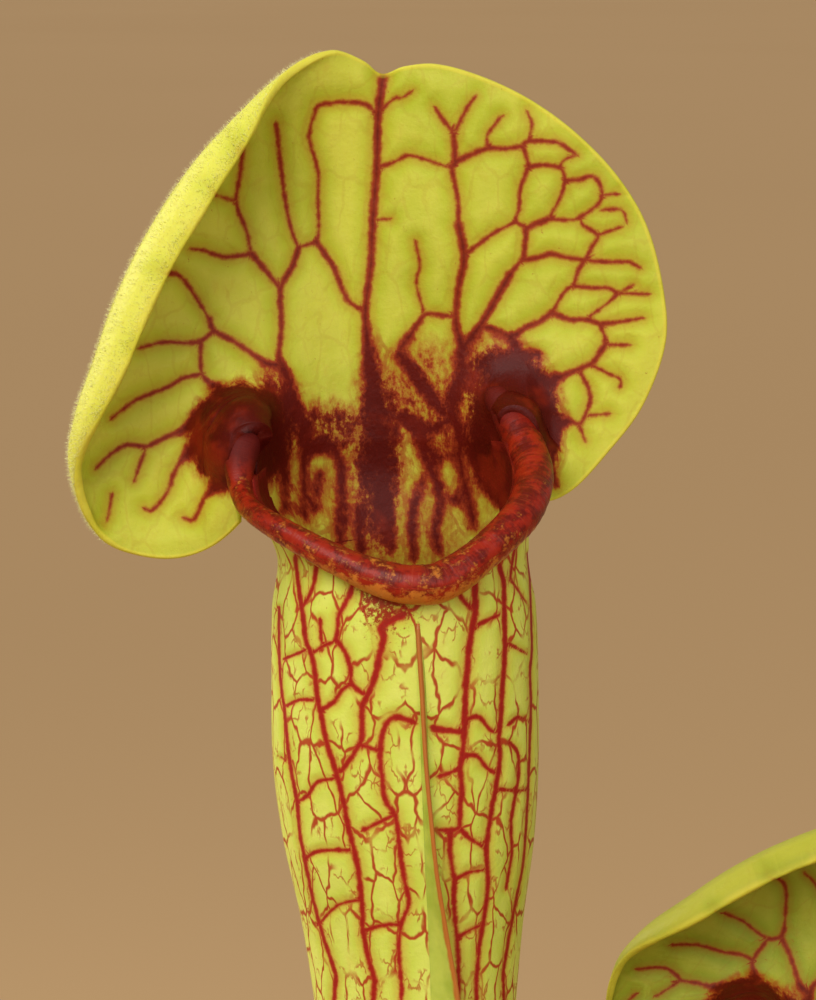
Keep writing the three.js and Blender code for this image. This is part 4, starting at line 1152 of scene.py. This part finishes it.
def build_rhizome():
    rows = [[-1, 0.35], [-0.93, 0.7], [-0.7, 0.95], [-0.35, 0.9], [0, 1.04], [0.3, 0.94], [0.62, 1],
            [0.88, 0.72], [1, 0.34]]
    q = np.linspace(-1, 1, 120)
    path = xyz(q * RHIZOME_HALF_LENGTH, 1.2 * (np.sin(4 * q) - 0.5), SOIL_Z - RHIZOME_DEPTH - 2.2 * q * q)
    radii = along(rows, q)[:, 0] * RHIZOME_RADIUS * (1 + 0.06 * np.sin(q * 38))
    points, faces = tube_along(path, radii, 56, 0.5, 7)
    bark = plain_material("rhizome_bark", (112, 72, 48), (72, 44, 30), 260, 0.8, 900, 0.0008)
    new_piece("rhizome_stem", points, faces, {}, ["rhizome"], bark)


def turned(outline, sides):
    """Points and faces of a body turned about the pot's axis from [radius, height] corners."""
    outline = np.asarray(outline, float)
    radii, heights = outline[1:-1, :, None].transpose(1, 0, 2)
    around = circle(sides)
    points = xyz(radii * np.cos(around), radii * np.sin(around), heights)
    ids = numbered(points)
    ends = [[0, 0, outline[0, 1]], [0, 0, outline[-1, 1]]]
    faces = [round_quads(ids), fan(ids[0], ids.size), fan(ids[-1], ids.size + 1)]
    return np.concatenate([points.reshape(-1, 3), ends]), faces


def pot_radius_at(z):
    return POT_BASE_RADIUS + (POT_MOUTH_RADIUS - POT_BASE_RADIUS) * z / POT_HEIGHT


def build_pot():
    """The pot's shell turned from its outline, outside then inside, with the drain holes cut out."""
    band = POT_HEIGHT - POT_BAND
    floor = POT_FOOT + POT_WALL
    base = POT_BASE_RADIUS
    foot = POT_BASE_RADIUS - POT_FOOT_WIDTH
    rim = POT_RIM_RADIUS
    rim_inside = POT_RIM_RADIUS - POT_RIM_WIDTH
    top = POT_HEIGHT
    outline = [
        [0, POT_FOOT], [foot - 1.2, POT_FOOT], [foot - 0.8, POT_FOOT - 0.2], [foot - 0.1, 0.3],
        [foot + 0.3, 0], [base - 1.2, 0], [base - 0.4, 0.25], [pot_radius_at(1.2), 1.2],
        [pot_radius_at(20), 20], [pot_radius_at(50), 50], [pot_radius_at(band - 0.6), band - 0.6],
        [pot_radius_at(band) + 0.4, band - 0.1], [rim - 2.2, band], [rim - 1.6, band + 0.2],
        [rim - 1.3, band + 0.8], [rim - 0.7, top - 3.4],
        [rim - 0.1, top - 2.8], [rim, top - 1.4], [rim - 0.3, top - 0.4], [rim - 1.1, top],
        [rim - 2.2, top - 0.05], [rim_inside, top - 1], [rim_inside - 0.5, band + 1],
        [pot_radius_at(band) - POT_WALL, band - POT_WALL], [pot_radius_at(50) - POT_WALL, 50],
        [pot_radius_at(floor + 1) - POT_WALL, floor + 1], [pot_radius_at(floor) - POT_WALL - 1, floor],
        [0, floor],
    ]
    points, faces = turned(outline, 160)
    pot = new_piece("pot_shell", points, faces, {}, ["pot"], pot_material())
    for i in range(DRAIN_COUNT):
        angle = 2 * math.pi * i / DRAIN_COUNT
        bpy.ops.mesh.primitive_cylinder_add(
            vertices=24, radius=DRAIN_RADIUS * MM, depth=12 * MM,
            location=(DRAIN_CIRCLE * MM * math.cos(angle), DRAIN_CIRCLE * MM * math.sin(angle), floor * MM))
        drill = bpy.context.object
        cut = pot.modifiers.new("drain", "BOOLEAN")
        cut.operation = "DIFFERENCE"
        cut.solver = "EXACT"
        cut.object = drill
        result = bpy.data.meshes.new_from_object(pot.evaluated_get(bpy.context.evaluated_depsgraph_get()))
        pot.modifiers.clear()
        pot.data = result
        bpy.data.objects.remove(drill)


def peat_height(x, y):
    """The height of the peat's surface, without its finest lumps."""
    spot = xyz(x, y, 0)
    crown = SOIL_CROWN * (1 - smoothstep(np.hypot(x, y), 10, 60))
    return SOIL_Z + crown - 0.8 + 0.9 * noise(spot, 9, 21) + 0.6 * noise(spot, 3.6, 22)


def build_peat():
    radii = np.linspace(0.6, PEAT_RADIUS, 110)[:, None]
    around = circle(220)
    x = radii * np.cos(around)
    y = radii * np.sin(around)
    flat = xyz(x, y, 0)
    z = peat_height(x, y) + 0.45 * noise(flat, 1.5, 23) + 0.25 * noise(flat, 0.8, 24)
    z = np.minimum(np.where(radii > PEAT_RADIUS - 2, SOIL_Z - 1.6, z), SOIL_Z + SOIL_CROWN + 0.6)
    skirt_radii = np.array([[pot_radius_at(70)], [pot_radius_at(6) - 0.1]]) - POT_WALL - PEAT_GAP
    skirt = xyz(skirt_radii * np.cos(around), skirt_radii * np.sin(around), [[70], [5.6]])
    points = np.concatenate([xyz(x, y, z), skirt])
    faces = round_body(numbered(points))
    new_piece("peat_top", points, faces, {}, ["growing_medium"], peat_material())


def scatter(count, reach, seed):
    """A random source, and places on the peat with its height there."""
    source = np.random.default_rng(seed)
    r = reach * np.sqrt(source.uniform(0.01, 1, count))
    t = source.uniform(0, 2 * np.pi, count)
    x = r * np.cos(t)
    y = r * np.sin(t)
    return source, xyz(x, y, peat_height(x, y))


def build_grains(name, count, sizes, seed, material, sink, levels, flat=1.0):
    source, spots = scatter(count, GRAIN_REACH, seed)
    work = bmesh.new()
    bmesh.ops.create_icosphere(work, subdivisions=levels, radius=1.0)
    ball = np.array([vert.co[:] for vert in work.verts])
    triangles = np.array([[vert.index for vert in face.verts] for face in work.faces])
    work.free()
    points = []
    for k, spot in enumerate(spots):
        size = source.uniform(*sizes)
        shape = ball * (size * source.uniform(0.65, 1.0, 3) * [1, 1, flat])
        shape = shape * (1 + 0.3 * noise(ball, 0.7, 100 + k))[:, None]
        tilt = source.uniform(-0.6, 0.6, 2).tolist()
        spin = np.array(Euler(tilt + [source.uniform(0, 6.28)]).to_matrix())
        points.append(shape @ spin.T + spot + [0, 0, size * flat * sink])
    faces = (triangles + len(ball) * np.arange(count)[:, None, None]).reshape(-1, 3)
    new_piece(name, np.concatenate(points), [faces], {}, (), material, mend=False)


def build_moss():
    """Moss: tufts of short bent strands."""
    source, spots = scatter(MOSS_TUFTS, MOSS_REACH, 33)
    radii = np.array([0.3, 0.36, 0.3, 0.2, 0.06])
    t = np.linspace(0, 1, len(radii))[:, None]
    points = []
    strands = []
    for spot in spots:
        for _ in range(TUFT_STRANDS):
            lean = unit(source.normal(0, 1, 3) * [1, 1, 0.25] + [0, 0, 0.55])
            bend = source.normal(0, 0.5, 3)
            length = source.uniform(1.8, 4.2)
            root = spot - [0, 0, 0.3] + source.normal(0, 0.7, 3) * [1, 1, 0.1]
            path = root + lean * length * t + bend * t * t * length * 0.5
            strand, faces = tube_along(path, radii * source.uniform(0.7, 1.2), 5)
            start = len(points) * strand[..., 0].size
            points.append(strand.reshape(-1, 3))
            strands.append([np.asarray(part) + start for part in faces])
    merged = [np.concatenate(parts) for parts in zip(*strands)]
    moss_green = plain_material("moss_green", (146, 152, 74), (92, 104, 44), 220, 0.85, 1500, 0.0004)
    new_piece("moss_tufts", np.concatenate(points), merged, {}, (), moss_green, mend=False)


hair_ground = build_hood(MAIN, 210, 165, 14, HOOD_GREEN)
build_tube(MAIN, 150, 0.26, 1.8)
build_lip(MAIN, 340, 32)
build_wing(MAIN, 240)
build_hairs(*hair_ground)
for leaf, fineness in ((SECOND, 1.0), (THIRD, 0.7), (FOURTH, 0.7)):
    # The second leaf takes the darker hood material, which is painted shade.
    green = HOOD_SHADED if leaf is SECOND else HOOD_GREEN
    build_hood(leaf, int(110 * fineness), int(90 * fineness), 10, green)
    build_tube(leaf, int(90 * fineness), 0.7 / fineness, 3.0 / fineness)
    build_lip(leaf, int(160 * fineness), 20)
    build_wing(leaf, int(110 * fineness))
build_young()
build_rhizome()
build_pot()
build_peat()
crumb = plain_material("peat_crumb", (92, 62, 38), (50, 34, 22), 300, 0.95, 1200, 0.0008)
perlite = plain_material("perlite", (206, 200, 186), (160, 152, 134), 500, 0.9, 1800, 0.0008)
build_grains("peat_crumbs", 900, (0.6, 1.9), 31, crumb, 0.2, 1, 0.7)
build_grains("perlite_grains", 190, (0.8, 1.9), 32, perlite, 0.35, 2)
build_moss()


def build_stage():
    bpy.ops.mesh.primitive_plane_add(size=60.0, location=(0, 0, 0))
    floor = bpy.context.object
    floor.name = "floor"
    s = Shader("floor_pale", 0.9, 0.2)
    s.finish(s.mix(s.noise(0.6, 2), (189, 155, 113), (185, 151, 109)))
    floor.data.materials.append(s.material)


def add_light(name, kind, power, color, rotation, place=(0, 0, 0), **settings):
    data = bpy.data.lights.new(name, kind)
    data.energy = power
    data.color = color
    for key, value in settings.items():
        setattr(data, key, value)
    lamp = add_object(name, data)
    lamp.location = place
    lamp.rotation_euler = Euler(rotation)


def area_light(name, place, size, power, color):
    """A soft round light that points at the tallest leaf's mouth."""
    way = LIGHT_TARGET - np.array(place)
    rotation = (math.acos(-way[2] / np.linalg.norm(way)), 0, math.atan2(way[1], way[0]) - math.pi / 2)
    add_light(name, "AREA", power, color, rotation, place, shape="DISK", size=size)


def build_light():
    world = bpy.data.worlds.new("soft_room")
    world.use_nodes = True
    world.node_tree.nodes["Background"].inputs[0].default_value = srgb(232, 224, 210)
    world.node_tree.nodes["Background"].inputs[1].default_value = 0.42
    bpy.context.scene.world = world
    bpy.context.scene.view_settings.view_transform = "Standard"
    add_light("window", "SUN", 2.25, (1.0, 0.975, 0.93), (math.radians(52), 0, math.radians(-26)),
              angle=math.radians(38))
    area_light("back_left", (-0.7, 0.45, 0.6), 0.4, 4.3, (1.0, 0.97, 0.88))
    area_light("front_fill", (0.3, -0.72, 0.55), 0.5, 1.75, (1.0, 0.98, 0.94))


def build_camera():
    mouth = np.array([MAIN.foot[0] + MAIN.run[0], MAIN.foot[1] + MAIN.run[1], SOIL_Z + MAIN_LENGTH])
    _, _, forward = photo_axes()
    data = bpy.data.cameras.new("photo_view")
    data.sensor_fit = "VERTICAL"
    data.sensor_height = SENSOR
    data.lens = FOCAL_PIXELS / PHOTO_HEIGHT * SENSOR
    data.clip_start = 0.05
    data.clip_end = 100
    camera = add_object("photo_view", data)
    camera.location = (mouth + VIEW_TARGET - forward * VIEW_DISTANCE) * MM
    camera.rotation_euler = Euler((math.radians(90 - VIEW_ELEVATION), 0, 0))
    bpy.context.scene.camera = camera


build_stage()
build_light()
build_camera()
